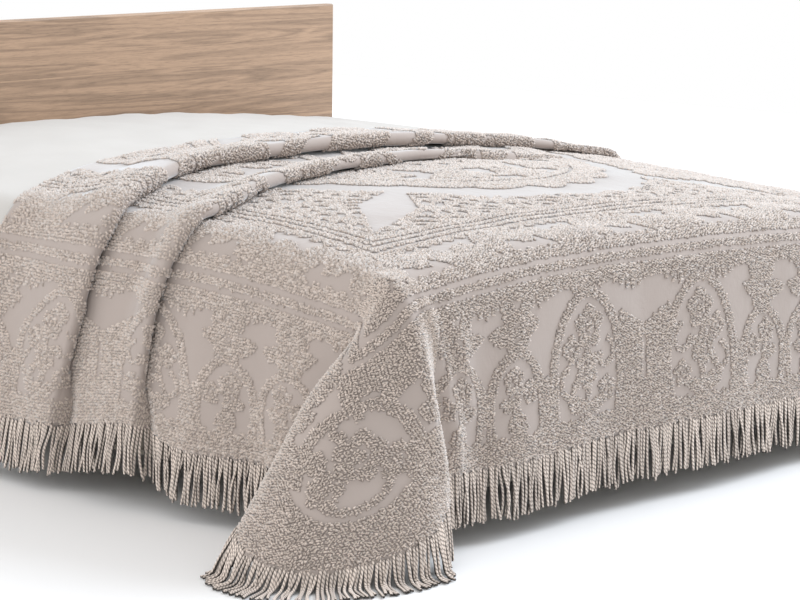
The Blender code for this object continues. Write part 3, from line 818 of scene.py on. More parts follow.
def tufted(s, t):
    """Whether the cloth is tufted at flat coordinates s, t, and whether its rows run across it."""
    to_side = HALF_CLOTH - np.abs(s)
    to_side = to_side + SIDE_SHIFT * smooth(to_side / 0.26)
    to_foot = t + SKIRT
    at_foot = to_foot < to_side
    inward = np.minimum(to_side, to_foot)
    place = np.where(at_foot, s, t - 0.02)

    corner_s, corner_t = np.abs(s) - HALF_TOP, -t
    corner = (corner_s > 0) & (corner_t > 0)
    round_inward = np.where(corner, SKIRT - np.hypot(corner_s, corner_t), inward)
    turn = np.arctan2(corner_t, corner_s) - CORNER_MIDDLE

    found = round_inward < DENSE_BAND + 0.006 * np.abs(np.cos(place * 105))
    found |= ~corner & (inward < DOUBLE_LINE[0]) & arch_border(place, inward)
    rounded = corner & (round_inward < CORNER_BORDER)
    found |= rounded & corner_border(turn * (SKIRT - 0.14), round_inward)
    found |= corner & ~rounded & (inward < DOUBLE_LINE[0])
    found |= (inward > LEAF_BAND[0]) & (inward < LEAF_BAND[1]) & leaf_band(place, inward)
    for low, high in (DOUBLE_LINE[1:], *TUFTED_LINES):
        found |= (inward > low) & (inward < high)
    found &= ~((inward > 0.634) & (inward < 0.641) & (np.cos(place * 100) < 0))
    inner = TUFTED_LINES[-1][1]
    ground = inward > inner
    found |= ground & medallion(s, t)
    q = np.hypot(s / MEDALLION_HALF[0], (t - MEDALLION[1]) / MEDALLION_HALF[1])
    q = q + 0.012 * np.cos(40 * (s + t))
    found |= ground & (q > PLAIN_RING[1]) & leafy_corner(to_side - inner, to_foot - inner)
    found &= ~(ground & (q > PLAIN_RING[0] + 0.02) & (q < PLAIN_RING[1]))
    return found & (round_inward > HEM_PLAIN), at_foot


def linear(code):
    """An sRGB hex value as linear RGBA."""
    parts = [int(code[i : i + 2], 16) / 255 for i in (0, 2, 4)]
    parts = [p / 12.92 if p <= 0.04045 else ((p + 0.055) / 1.055) ** 2.4 for p in parts]
    return (*parts, 1.0)


def shade(colour, red, green=None, blue=None):
    """A colour made darker or lighter, by one factor or one for each channel."""
    factors = (red, green or red, blue or red)
    return [min(1.0, part * factor) for part, factor in zip(colour, factors)] + [1.0]


def add_node(tree, kind, inputs=None, **settings):
    """Adds a node with its settings. An input takes a value, a socket or a node's first output."""
    node = tree.nodes.new(kind)
    for name, value in settings.items():
        setattr(node, name, value)
    for key, value in (inputs or {}).items():
        if isinstance(value, bpy.types.Node):
            value = next(output for output in value.outputs if output.enabled)
        if isinstance(value, bpy.types.NodeSocket):
            tree.links.new(value, node.inputs[key])
        else:
            node.inputs[key].default_value = value
    return node


def start_material(name, colour):
    """An empty material, and add_node for its own tree."""
    material = bpy.data.materials.new(name)
    material.use_nodes = True
    material.diffuse_color = colour
    material.node_tree.nodes.clear()
    return material, functools.partial(add_node, material.node_tree)


def end_material(add, finish):
    """Ends a material in its shader and its output."""
    shader = add("ShaderNodeBsdfPrincipled", finish)
    add("ShaderNodeOutputMaterial", {"Surface": shader})


def woven_cotton(name, colour, uv_map, sheen, crumple):
    """Plain-woven cotton, washed and never pressed: matt, a little uneven in tone, and softly
    crumpled. Its threads, some 0.4 mm apart, are too fine to show and are drawn as 3 mm slubs."""
    material, add = start_material(name, colour)
    if uv_map:
        place = add("ShaderNodeUVMap", uv_map=uv_map)
    else:
        place = add("ShaderNodeTexCoord").outputs["Object"]
    slubs = []
    for scale in ((1 / 0.022, 1 / 0.003, 1 / 0.003), (1 / 0.003, 1 / 0.022, 1 / 0.022)):
        stretched = add("ShaderNodeMapping", {"Vector": place, "Scale": scale})
        slubs.append(add("ShaderNodeTexNoise", {"Vector": stretched, "Scale": 1.0, "Detail": 1.0}))
    weave = add("ShaderNodeMath", dict(enumerate(slubs)), operation="ADD")
    crumpled = {"Vector": place, "Scale": 1 / 0.045, "Detail": 3.0, "Roughness": 0.55, "Distortion": 0.6}
    soft = add("ShaderNodeTexNoise", crumpled)
    patches = add("ShaderNodeTexNoise", {"Vector": place, "Scale": 1 / 0.25, "Detail": 2.0})
    shades = {0: patches, 6: shade(colour, 0.93), 7: shade(colour, 1.05)}
    tone = add("ShaderNodeMix", shades, data_type="RGBA")
    creased = add("ShaderNodeBump", {"Height": soft, "Strength": 1.0, "Distance": crumple})
    raised = {"Height": weave, "Strength": 0.5, "Distance": 0.25 * MM, "Normal": creased}
    threads = add("ShaderNodeBump", raised)
    finish = {"Base Color": tone, "Roughness": 0.88, "Specular IOR Level": 0.25, "Normal": threads}
    finish |= {"Sheen Weight": sheen, "Sheen Roughness": 0.35, "Sheen Tint": CLOTH_SHEEN}
    end_material(add, finish)
    return material


def chenille_pile(colour):
    """Cut cotton pile, tufted through the cloth and washed until it blooms: matt and fuzzy, with
    painted shade at each tuft's root and painted light at its tip, and each tuft a little different in
    tone."""
    material, add = start_material("Cotton chenille pile", colour)
    place = add("ShaderNodeTexCoord").outputs["Object"]
    lift = add("ShaderNodeAttribute", attribute_name="lift").outputs["Fac"]
    tone = add("ShaderNodeAttribute", attribute_name="tone").outputs["Fac"]
    fuzzy = {"Vector": place, "Scale": 1 / 0.0024, "Detail": 2.0, "Roughness": 0.6}
    fibres = add("ShaderNodeTexNoise", fuzzy)
    # Painted shade and light: each tuft darkens to a fifth of its colour at its root and lightens towards
    # its tip, by its lift.
    shades = {0: lift, 6: shade(colour, 0.20, 0.18, 0.17), 7: shade(colour, 1.20)}
    rise = add("ShaderNodeMix", shades, data_type="RGBA")
    varied = add("ShaderNodeHueSaturation", {"Color": rise, "Value": tone, "Saturation": 1.06})
    fuzz = add("ShaderNodeBump", {"Height": fibres, "Strength": 0.9, "Distance": 1.1 * MM})
    finish = {"Base Color": varied, "Roughness": 0.95, "Specular IOR Level": 0.15, "Normal": fuzz}
    finish |= {"Sheen Weight": 0.45, "Sheen Roughness": 0.6, "Sheen Tint": PILE_SHEEN}
    end_material(add, finish)
    return material


def twisted_cord(colour, lay):
    """Two-ply twisted cotton cord: matt, its two strands winding round each other, with painted shade in
    the groove between them and painted light on their crowns, and painted shade on each cord's sides."""
    material, add = start_material("Twisted cotton cord", colour)
    along = add("ShaderNodeAttribute", attribute_name="along").outputs["Fac"]
    tone = add("ShaderNodeAttribute", attribute_name="tone").outputs["Fac"]
    round_it = add("ShaderNodeAttribute", attribute_name="round").outputs["Vector"]
    outward = add("ShaderNodeAttribute", attribute_name="outward").outputs["Vector"]
    axes = add("ShaderNodeSeparateXYZ", {"Vector": round_it}).outputs
    angle = add("ShaderNodeMath", {0: axes["Y"], 1: axes["X"]}, operation="ARCTAN2")
    twice = add("ShaderNodeMath", {0: along, 1: 4 * math.pi / lay, 2: 0.0}, operation="MULTIPLY_ADD")
    turned = add("ShaderNodeMath", {0: angle, 1: 2.0, 2: twice}, operation="MULTIPLY_ADD")
    wave = add("ShaderNodeMath", {0: turned}, operation="SINE")
    ply = {"Value": wave, "From Min": -1.0, "From Max": 0.3}
    strand = add("ShaderNodeMapRange", ply, interpolation_type="SMOOTHSTEP")
    # Painted shade in the groove between the strands, painted light on their crowns.
    shades = {0: strand, 6: shade(colour, 0.52), 7: shade(colour, 1.18)}
    ply_shade = add("ShaderNodeMix", shades, data_type="RGBA")
    # Painted shade on the sides of the cord that turn away from its outward way, where its neighbours
    # crowd it.
    normal = add("ShaderNodeNewGeometry").outputs["Normal"]
    facing = add("ShaderNodeVectorMath", {0: outward, 1: normal}, operation="DOT_PRODUCT")
    side_shade_range = {"Value": facing.outputs["Value"], "From Min": 0.0, "From Max": 0.72, "To Min": 0.10}
    clear = add("ShaderNodeMapRange", side_shade_range, interpolation_type="SMOOTHSTEP")
    tone_and_side_shade = add("ShaderNodeMath", {0: tone, 1: clear}, operation="MULTIPLY")
    varied = add("ShaderNodeHueSaturation", {"Color": ply_shade, "Value": tone_and_side_shade})
    bump = add("ShaderNodeBump", {"Height": strand, "Strength": 0.8, "Distance": 0.9 * MM})
    finish = {"Base Color": varied, "Roughness": 0.92, "Specular IOR Level": 0.2, "Normal": bump}
    end_material(add, finish | {"Sheen Weight": 0.2, "Sheen Roughness": 0.5})
    return material


def oiled_oak(name, colour, grain):
    """Light oak, planed and oiled: straight grain 3 mm wide with fine open pores, satin."""
    material, add = start_material(name, colour)
    place = add("ShaderNodeTexCoord").outputs["Object"]
    order = slice(None) if grain == "x" else slice(None, None, -1)
    board = (1 / 0.9, 1 / 0.03, 1 / 0.03)[order]
    fine = (1 / 0.04, 1 / 0.0016, 1 / 0.0016)[order]
    rings_at = add("ShaderNodeMapping", {"Vector": place, "Scale": board})
    growth = {"Vector": rings_at, "Scale": 1.0, "Detail": 4.0, "Distortion": 1.2}
    rings = add("ShaderNodeTexNoise", growth)
    streaks = add("ShaderNodeMath", {0: rings, 1: 9.0, 2: 0.0}, operation="MULTIPLY_ADD")
    bands = add("ShaderNodeMath", {0: streaks, 1: 1.0}, operation="PINGPONG")
    pores_at = add("ShaderNodeMapping", {"Vector": place, "Scale": fine})
    open_pores = {"Vector": pores_at, "Scale": 1.0, "Detail": 2.0, "Roughness": 0.7}
    pores = add("ShaderNodeTexNoise", open_pores)
    shades = {0: bands, 6: shade(colour, 0.74), 7: shade(colour, 1.16)}
    wood = add("ShaderNodeMix", shades, data_type="RGBA")
    deep = add("ShaderNodeMapRange", {"Value": pores, "From Min": 0.36, "From Max": 0.48, "To Min": 0.78})
    grained = add("ShaderNodeHueSaturation", {"Color": wood, "Value": deep})
    bump = add("ShaderNodeBump", {"Height": deep, "Strength": 0.5, "Distance": 0.2 * MM})
    finish = {"Base Color": grained, "Roughness": 0.48, "Specular IOR Level": 0.4, "Normal": bump}
    end_material(add, finish)
    return material


def add_piece(name, mesh, material=None):
    """Puts a mesh or a curve into the scene as an object at the origin."""
    piece = bpy.data.objects.new(name, mesh)
    bpy.context.scene.collection.objects.link(piece)
    if material:
        mesh.materials.append(material)
    return piece


def mesh_from(name, points, faces=(), edges=()):
    """A mesh from plain arrays; a face may repeat a vertex, and is then a triangle."""
    faces = [[int(face[k]) for k in range(len(face)) if face[k] != face[k - 1]] for face in faces]
    mesh = bpy.data.meshes.new(name)
    mesh.from_pydata(np.asarray(points).tolist(), [tuple(map(int, edge)) for edge in edges], faces)
    mesh.validate()
    mesh.shade_smooth()
    return mesh


def add_numbers(mesh, **numbers):
    """Stores a number or a vector for each vertex under each name."""
    for name, values in numbers.items():
        vectors = values.shape[1:][-1:] == (3,)
        kind, key = ("FLOAT_VECTOR", "vector") if vectors else ("FLOAT", "value")
        attribute = mesh.attributes.new(name, kind, "POINT")
        attribute.data.foreach_set(key, values.astype(np.float32).ravel())


def evaluated(thing):
    """What an object's curve or modifiers make of it, as a plain mesh; the object is removed."""
    graph = bpy.context.evaluated_depsgraph_get()
    mesh = bpy.data.meshes.new_from_object(thing.evaluated_get(graph), depsgraph=graph)
    bpy.data.objects.remove(thing)
    return mesh


def made_by_nodes(name, source, tree, values):
    """What a node tree makes of a mesh, which is used up, as a plain mesh object."""
    maker = add_piece(name + "_maker", source)
    modifier = maker.modifiers.new("nodes", "NODES")
    modifier.node_group = tree
    for item in tree.interface.items_tree:
        if item.item_type == "SOCKET" and item.in_out == "INPUT" and item.name in values:
            modifier[item.identifier] = values[item.name]
    mesh = evaluated(maker)
    bpy.data.meshes.remove(source)
    if not mesh.polygons:
        raise RuntimeError(f"{name}: the nodes made nothing")
    mesh.name = name
    return add_piece(name, mesh)


def new_tree(name, **sockets):
    """An empty geometry node tree with named inputs, add_node for it, and its inputs' sockets."""
    tree = bpy.data.node_groups.new(name, "GeometryNodeTree")
    tree.interface.new_socket("Geometry", in_out="OUTPUT", socket_type="NodeSocketGeometry")
    for title, kind in {"Geometry": "Geometry", **sockets}.items():
        title = title.replace("_", " ")
        tree.interface.new_socket(title, in_out="INPUT", socket_type="NodeSocket" + kind)
    add = functools.partial(add_node, tree)
    return tree, add, add("NodeGroupInput").outputs


def end_tree(tree, add, geometry, material):
    """Ends a tree in real geometry with its material."""
    real = add("GeometryNodeRealizeInstances", {"Geometry": geometry})
    dressed = add("GeometryNodeSetMaterial", {"Geometry": real, "Material": material})
    add("NodeGroupOutput", {"Geometry": dressed})
    return tree


def tuft_tree():
    """Stands a tuft on every point, leaning its own way."""
    tree, add, given = new_tree(
        "Tufts", Tuft_shapes="Collection", Shapes="Int", Lean="Float", Turn="Float", Seed="Int",
        Material="Material",
    )
    named = {}
    for name, kind in (("facing", "FLOAT_VECTOR"), ("row", "FLOAT_VECTOR"), ("size", "FLOAT")):
        named[name] = add("GeometryNodeInputNamedAttribute", {"Name": name}, data_type=kind)
    axes = {"Primary Axis": named["facing"], "Secondary Axis": named["row"]}
    upright = add("FunctionNodeAxesToRotation", axes, primary_axis="Z", secondary_axis="X")
    most = add("ShaderNodeCombineXYZ", {"X": given["Lean"], "Y": given["Lean"], "Z": given["Turn"]})
    least = add("ShaderNodeVectorMath", {0: most, "Scale": -1.0}, operation="SCALE")
    spread = {0: least, 1: most, "Seed": given["Seed"]}
    lean = add("FunctionNodeRandomValue", spread, data_type="FLOAT_VECTOR")
    leaning = add("FunctionNodeEulerToRotation", {"Euler": lean})
    both = {"Rotation": upright, "Rotate By": leaning}
    turned = add("FunctionNodeRotateRotation", both, rotation_space="LOCAL")
    last = add("ShaderNodeMath", {0: given["Shapes"], 1: 1.0}, operation="SUBTRACT")
    pick = add("FunctionNodeRandomValue", {4: 0, 5: last, "Seed": given["Seed"]}, data_type="INT")
    apart = {"Collection": given["Tuft shapes"], "Separate Children": True, "Reset Children": True}
    shapes = add("GeometryNodeCollectionInfo", apart)
    standing = {"Points": given["Geometry"], "Instance": shapes, "Pick Instance": True}
    standing |= {"Instance Index": pick, "Rotation": turned, "Scale": named["size"]}
    stood = add("GeometryNodeInstanceOnPoints", standing)
    return end_tree(tree, add, stood, given["Material"])


def cord_tree():
    """Lays a round cord along every line."""
    tree, add, given = new_tree("Cords", Diameter="Float", Material="Material")
    thick = add("GeometryNodeInputNamedAttribute", {"Name": "thick"}, data_type="FLOAT")
    lines = add("GeometryNodeMeshToCurve", {"Mesh": given["Geometry"]})
    radius = add("ShaderNodeMath", {0: given["Diameter"], 1: 0.5}, operation="MULTIPLY")
    ring = {"Resolution": CORD_SIDES, "Radius": radius}
    circle = add("GeometryNodeCurvePrimitiveCircle", ring, mode="RADIUS")
    at = add("GeometryNodeInputPosition")
    outward = add("ShaderNodeVectorMath", {0: at}, operation="NORMALIZE")
    kept = {"Geometry": circle, "Name": "round", "Value": outward}
    profile = add("GeometryNodeStoreNamedAttribute", kept, data_type="FLOAT_VECTOR", domain="POINT")
    swept = {"Curve": lines, "Profile Curve": profile, "Scale": thick, "Fill Caps": True}
    cords = add("GeometryNodeCurveToMesh", swept)
    soft = add("GeometryNodeSetShadeSmooth", {"Geometry": cords, "Shade Smooth": True})
    return end_tree(tree, add, soft, given["Material"])


def in_world(points):
    """Bed coordinates to the shared frame."""
    return np.asarray(points) + np.array([BED_CORNER.x, BED_CORNER.y, 0.0])


def make_cloth(settings):
    """The cotton ground of the spread: one sheet, draped, with its creases."""
    cloth = drape()
    going = [o for o in bpy.data.objects if o.name.startswith(("tufts_", "fringe_"))]
    if len(going) < 7:
        raise RuntimeError("the tufts and the fringe are made before the cloth")
    mesh = mesh_from("bedspread_cloth", in_world(cloth.points), cloth.faces)
    cut = mesh.uv_layers.new(name="cut")
    corners = np.empty(len(mesh.loops), np.int32)
    mesh.loops.foreach_get("vertex_index", corners)
    cut.data.foreach_set("uv", cloth.flat[corners].astype(np.float32).ravel())
    material = woven_cotton("Washed plain-woven cotton", settings.ground_colour, "cut", 0.85, 1.2 * MM)
    piece = add_piece("bedspread_cloth", mesh, material)
    wall = piece.modifiers.new("thickness", "SOLIDIFY")
    wall.thickness = settings.cloth_thickness
    wall.offset = 0.0
    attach(piece, "root")
    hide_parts("bedspread")
    cloth.flat_area()


def tuft_shapes(settings):
    """A few loaf-shaped tufts, each one bent a little differently, in a collection of their own."""
    shapes = bpy.data.collections.new("Tuft shapes")
    rng = np.random.default_rng(TUFT_SEED)
    faces = [(1, 0, 4), (1, 4, 5), (2, 1, 5), (3, 2, 5), (3, 5, 4), (0, 3, 4)]
    for i in range(TUFT_SHAPES):
        ring = np.array([[0.42, -0.40, 0], [-0.40, -0.42, 0], [-0.42, 0.40, 0], [0.40, 0.42, 0]])
        ring = ring * (TUFT_LENGTH, TUFT_WIDTH, 1) * rng.uniform(0.8, 1.15, (4, 1))
        ridge = np.array([[0.24, 0, 1.0], [-0.24, 0, 1.0]]) * (TUFT_LENGTH, 1, settings.pile_height)
        ridge[:, 1] += rng.uniform(-0.25, 0.25, 2) * TUFT_WIDTH
        ridge[:, 2] *= rng.uniform(0.75, 1.2, 2)
        points = np.concatenate([ring, ridge])
        points[:4, 2] = -0.0004
        mesh = mesh_from(f"tuft_{i}", points, faces)
        # lift is 0 at the root and 1 at the ridge; the pile's material paints shade and light on the tuft
        # by it
        add_numbers(mesh, lift=np.array([0.0] * 4 + [1.0] * 2))
        shapes.objects.link(bpy.data.objects.new(f"tuft_{i}", mesh))
    return shapes


def tuft_places(settings):
    """Where the tufts stand, piece by piece: points, normals and rows."""
    cloth = drape()
    rng = np.random.default_rng(TUFT_SEED)
    lattices = []
    for share, at_corner in ((1, False), (CORNER_PITCH, True)):
        pitch = settings.tuft_spacing * share
        across = np.arange(-HALF_CLOTH, HALF_CLOTH, pitch)
        along = np.arange(-SKIRT, cloth.long.depths.max(), pitch * ROW_PITCH)
        s, t = np.meshgrid(across, along, indexing="ij")
        t = t + (np.arange(len(s)) % 2)[:, None] * pitch / 2
        s = (s + rng.uniform(-TUFT_JITTER, TUFT_JITTER, s.shape) * pitch).ravel()
        t = (t + rng.uniform(-TUFT_JITTER, TUFT_JITTER, t.shape) * pitch).ravel()
        here = ((t < 0) & (np.abs(s) > HALF_TOP)) == at_corner
        lattices.append(np.stack([s[here], t[here]]))
    s, t = np.concatenate(lattices, 1)
    keep, at_foot = tufted(s, t)
    s, t, at_foot = s[keep], t[keep], at_foot[keep]

    beyond = np.abs(s) - HALF_TOP
    turn, reach = np.degrees(np.arctan2(-t, beyond)), np.hypot(beyond, t)
    on_bed, on_top = t >= 0, beyond <= 0
    near, far = cloth.corners
    regions = (
        ("near_side", cloth.long, on_bed & (s < -HALF_TOP), s, t),
        ("top_foot_end", cloth.long, on_bed & on_top & (t < TOP_SPLIT), s, t),
        ("top_head_end", cloth.long, on_bed & on_top & (t >= TOP_SPLIT), s, t),
        ("far_side", cloth.long, on_bed & (s > HALF_TOP), s, t),
        ("foot", cloth.foot, ~on_bed & on_top, s, -t),
        ("corners", near, ~on_bed & ~on_top & (s < 0), turn, reach),
        ("corners", far, ~on_bed & ~on_top & (s > 0), turn, reach),
    )
    found = {}
    for name, panel, here, place, depth in regions:
        points, normals, hidden = cloth.find(panel, place[here], depth[here])
        seen = ~hidden
        points, normals, foot = points[seen], normals[seen], at_foot[here][seen]
        row = np.where(foot[:, None], [1.0, 0.0, 0.0], [0.0, 1.0, 0.0])
        if name == "near_side":
            row[:] = SMOOTHED_ROW
        row[np.abs((row * normals).sum(1)) > 0.85] = (1.0, 0.0, 0.0)
        found.setdefault(name, []).append((points, normals, row))
    return {name: [np.concatenate(values) for values in zip(*parts)] for name, parts in found.items()}


def soften_root_shade(mesh):
    """Pile that has been smoothed down gets weaker painted shade at its roots and weaker painted light at
    its tips.
    """
    lift = mesh.attributes["lift"].data
    values = np.empty(len(lift), np.float32)
    lift.foreach_get("value", values)
    low, high = SMOOTHED_PILE_SHADE
    lift.foreach_set("value", low + (high - low) * values)


def make_tufts(settings):
    """The tufted pattern, in one piece of pile for each part of the spread."""
    material = chenille_pile(settings.pile_colour)
    tree = tuft_tree()
    shapes = tuft_shapes(settings)
    rng = np.random.default_rng(TUFT_SEED + 1)
    values = {"Tuft shapes": shapes, "Shapes": len(shapes.objects), "Material": material}
    values |= {"Lean": TUFT_LEAN, "Turn": TUFT_TURN, "Seed": TUFT_SEED}
    for name, (points, normals, row) in tuft_places(settings).items():
        if len(points) * TUFT_FACES > MOST_FACES:
            raise RuntimeError(f"{name}: {len(points)} tufts are too many for one piece")
        source = mesh_from(name, in_world(points) + normals * settings.cloth_thickness / 2)
        size, tone = (rng.uniform(*limits, len(points)) for limits in (TUFT_SIZES, TUFT_TONES))
        add_numbers(source, facing=normals, row=row, size=size, tone=tone)
        piece = made_by_nodes(f"tufts_{name}", source, tree, values)
        if name == "near_side":
            soften_root_shade(piece.data)
        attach(piece, "root")
    for shape in list(shapes.objects):
        bpy.data.objects.remove(shape)
    bpy.data.collections.remove(shapes)


def hem_frames(spacing):
    """Evenly spaced places along the hem: roots, directions down the cloth, and normals."""
    cloth = drape()
    ends, inner = (np.concatenate(cloth.hem_lines(step)) for step in (0, 1))
    roots = cloth.points[ends]
    down = unit(roots - cloth.points[inner])
    place = np.concatenate([[0.0], np.cumsum(np.linalg.norm(np.diff(roots, axis=0), axis=1))])
    at = np.arange(spacing / 2, place[-1], spacing)
    frames = [
        np.stack([np.interp(at, place, column) for column in values.T], 1)
        for values in (roots, down, cloth.normals[ends])
    ]
    return at, frames[0], unit(frames[1]), unit(frames[2])


def cord_paths(settings):
    """The middle lines of the cords, which hang, lean and bunch, and lie where they meet the floor."""
    at, roots, down, normals = hem_frames(settings.cord_spacing)
    rng = np.random.default_rng(TUFT_SEED + 2)
    count, steps = len(at), CORD_STEPS
    sideways = np.cross(normals, down)
    length = settings.fringe_length * (1 + rng.normal(0, CORD_LENGTHS, count)).clip(0.93, 1.05)
    lean = 0.025 * np.sin(at * 37 + 2.2 * np.sin(at * 11)) + 0.03 * np.sin(at * 97 + 1.0)
    lean = (lean + rng.normal(0, CORD_LEANS, count)) * (0.6 + 0.4 * np.sin(at * 4.1))
    out = 0.04 * np.sin(at * 53) + rng.normal(0, CORD_OUTS, count)
    curl = rng.normal(0, CORD_CURLS, count)
    low = settings.cord_diameter * 0.55
    radius = settings.cord_diameter / 2
    point = roots + normals * (radius * rng.uniform(-0.5, 0.9, count))[:, None]
    point = point - down * rng.uniform(0.0, 0.011, count)[:, None]
    paths, facings = [point], [normals]
    step = (length / steps)[:, None]
    outward = normals[:, :2] / np.maximum(np.linalg.norm(normals[:, :2], axis=1), 1e-6)[:, None]
    for k in range(steps):
        part = k / (steps - 1)
        fallen = smooth(part / 0.8) * 0.45
        way = down * (1 - fallen) + np.array([0.0, 0.0, -1.0]) * fallen
        way = way + sideways * (lean * smooth(part * 1.6) + curl * np.sin(part * 5))[:, None]
        way = unit(way + normals * (out * smooth(part * 2))[:, None])
        steepest = -np.clip((point[:, 2] - low) / 0.016, 0, 1) ** 0.7
        level = np.maximum(way[:, 2], steepest)
        flat = way[:, :2] + outward * ((level - way[:, 2]) * 0.9)[:, None]
        flat *= (np.sqrt(1 - level**2) / np.maximum(np.linalg.norm(flat, axis=1), 1e-6))[:, None]
        way = np.concatenate([flat, level[:, None]], 1)
        point = point + way * step
        point[:, 2] = np.maximum(point[:, 2], low)
        paths.append(point)
        # The way each cord faces out, by which its material paints shade on its sides.
        facings.append(np.cross(way, sideways))
    along = np.linspace(0, 1, steps + 1)[None] * length[:, None]
    tone = np.repeat(rng.uniform(*CORD_TONES, count)[:, None], steps + 1, 1)
    thick = np.ones((count, steps + 1)) * rng.uniform(*CORD_WIDTHS, count)[:, None]
    thick[:, [0, 1, -1]] *= CORD_ENDS
    numbers = {"along": along, "tone": tone, "thick": thick, "outward": np.stack(facings, 1)}
    return np.stack(paths, 1), numbers


def make_fringe(settings):
    """The fringe of twisted cords, in two pieces that meet halfway along the foot."""
    material = twisted_cord(settings.cord_colour, settings.cord_diameter * CORD_TWIST)
    paths, numbers = cord_paths(settings)
    tree = cord_tree()
    middle = len(paths) // 2
    for name, part in (("near", slice(0, middle)), ("far", slice(middle, None))):
        lines = paths[part]
        index = np.arange(lines.shape[0] * lines.shape[1]).reshape(lines.shape[:2])
        edges = np.stack([index[:, :-1], index[:, 1:]], -1).reshape(-1, 2)
        source = mesh_from(name, in_world(lines.reshape(-1, 3)), edges=edges)
        add_numbers(source, **{title: values[part] for title, values in numbers.items()})
        values = {"Diameter": settings.cord_diameter, "Material": material}
        piece = made_by_nodes(f"fringe_{name}", source, tree, values)
        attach(piece, "root")
        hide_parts("fringe")


def cover_height(x, y):
    """Height of the mattress's cover: a little under the spread where it lies, and wrinkled where
    it shows at the head."""
    across = x - MATTRESS_WIDTH / 2
    bare = smooth((y - read(PLEATS, "across", "head", across) + 0.03) / 0.12)
    edges = smooth((HALF_TOP - np.abs(across)) / 0.08)
    wrinkle = 0.0022 * np.sin(x * 19 + 5 * np.sin(y * 6)) * np.sin(y * 15 + 2 * np.sin(x * 8))
    wrinkle = wrinkle + 0.0014 * np.sin(x * 47 + 4 * np.sin(y * 17))
    under = COVER_GAP + (0.0018 - COVER_GAP) * bare
    return bed_top(x, y) - under - (0.003 - wrinkle) * bare * edges


def make_mattress(settings):
    """The mattress in its white fitted cover: crowned on top, with rounded edges."""
    across = np.linspace(-HALF_TOP, HALF_TOP, COVER_STEPS + 1) + MATTRESS_WIDTH / 2
    along = np.linspace(EDGE_INSET, MATTRESS_LENGTH - EDGE_INSET, COVER_STEPS + 1)
    x, y = np.meshgrid(across, along, indexing="ij")
    top = np.stack([x, y, cover_height(x, y)], -1)
    index = np.arange(x.size).reshape(x.shape)
    faces = [quads(index, True)]
    sides = ((index[:, 0], -90), (index[-1], 0), (index[::-1, -1], 90), (index[0, ::-1], 180))
    ring, facing = [], []
    for line, bearing in sides:
        ring += [line[:1]] * 4 + [line]
        facing += [bearing - 90 + 90 * (np.arange(4) + 0.5) / 4.0, np.full(len(line), float(bearing))]
    above, facing = np.concatenate(ring), np.radians(np.concatenate(facing))
    points = [top.reshape(-1, 3)]
    start = points[0][above]
    radius = EDGE_INSET - 0.001
    bottom = MATTRESS_LOW.z + 0.0006
    levels = [(math.pi / 2 * k / 9, 0) for k in range(1, 10)]
    levels += [(math.pi / 2, part) for part in (0.12, 0.28, 0.46, 0.64, 0.82, 0.94, 1.0)]
    for number, (angle, part) in enumerate(levels):
        level = start[:, 2] - radius * (1 - math.cos(angle))
        level = level + (bottom - level) * part
        out = radius * math.sin(angle) - 0.004 * math.sin(math.pi * part) - 0.006 * (part == 1)
        ripple = 0.0012 * np.sin(np.arange(len(above)) * 0.9) * min(1.0, (number + 1) / 9)
        out = out - np.abs(ripple)
        ring = [start[:, 0] + out * np.cos(facing), start[:, 1] + out * np.sin(facing), level]
        points.append(np.stack(ring, -1))
        here = x.size + number * len(above) + np.arange(len(above))
        faces.append(np.stack([above, here, np.roll(here, -1), np.roll(above, -1)], -1))
        above = here
    mesh = mesh_from("mattress_cover", in_world(np.concatenate(points)), np.concatenate(faces))
    made = bmesh.new()
    made.from_mesh(mesh)
    bmesh.ops.remove_doubles(made, verts=made.verts, dist=1e-6)
    bmesh.ops.holes_fill(made, edges=made.edges)
    bmesh.ops.recalc_face_normals(made, faces=made.faces)
    made.to_mesh(mesh)
    made.free()
    material = woven_cotton("White cotton percale", settings.cover_colour, "", 0.1, 0.7 * MM)
    piece = add_piece("mattress_cover", mesh, material)
    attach(piece, "root")
    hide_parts("mattress")


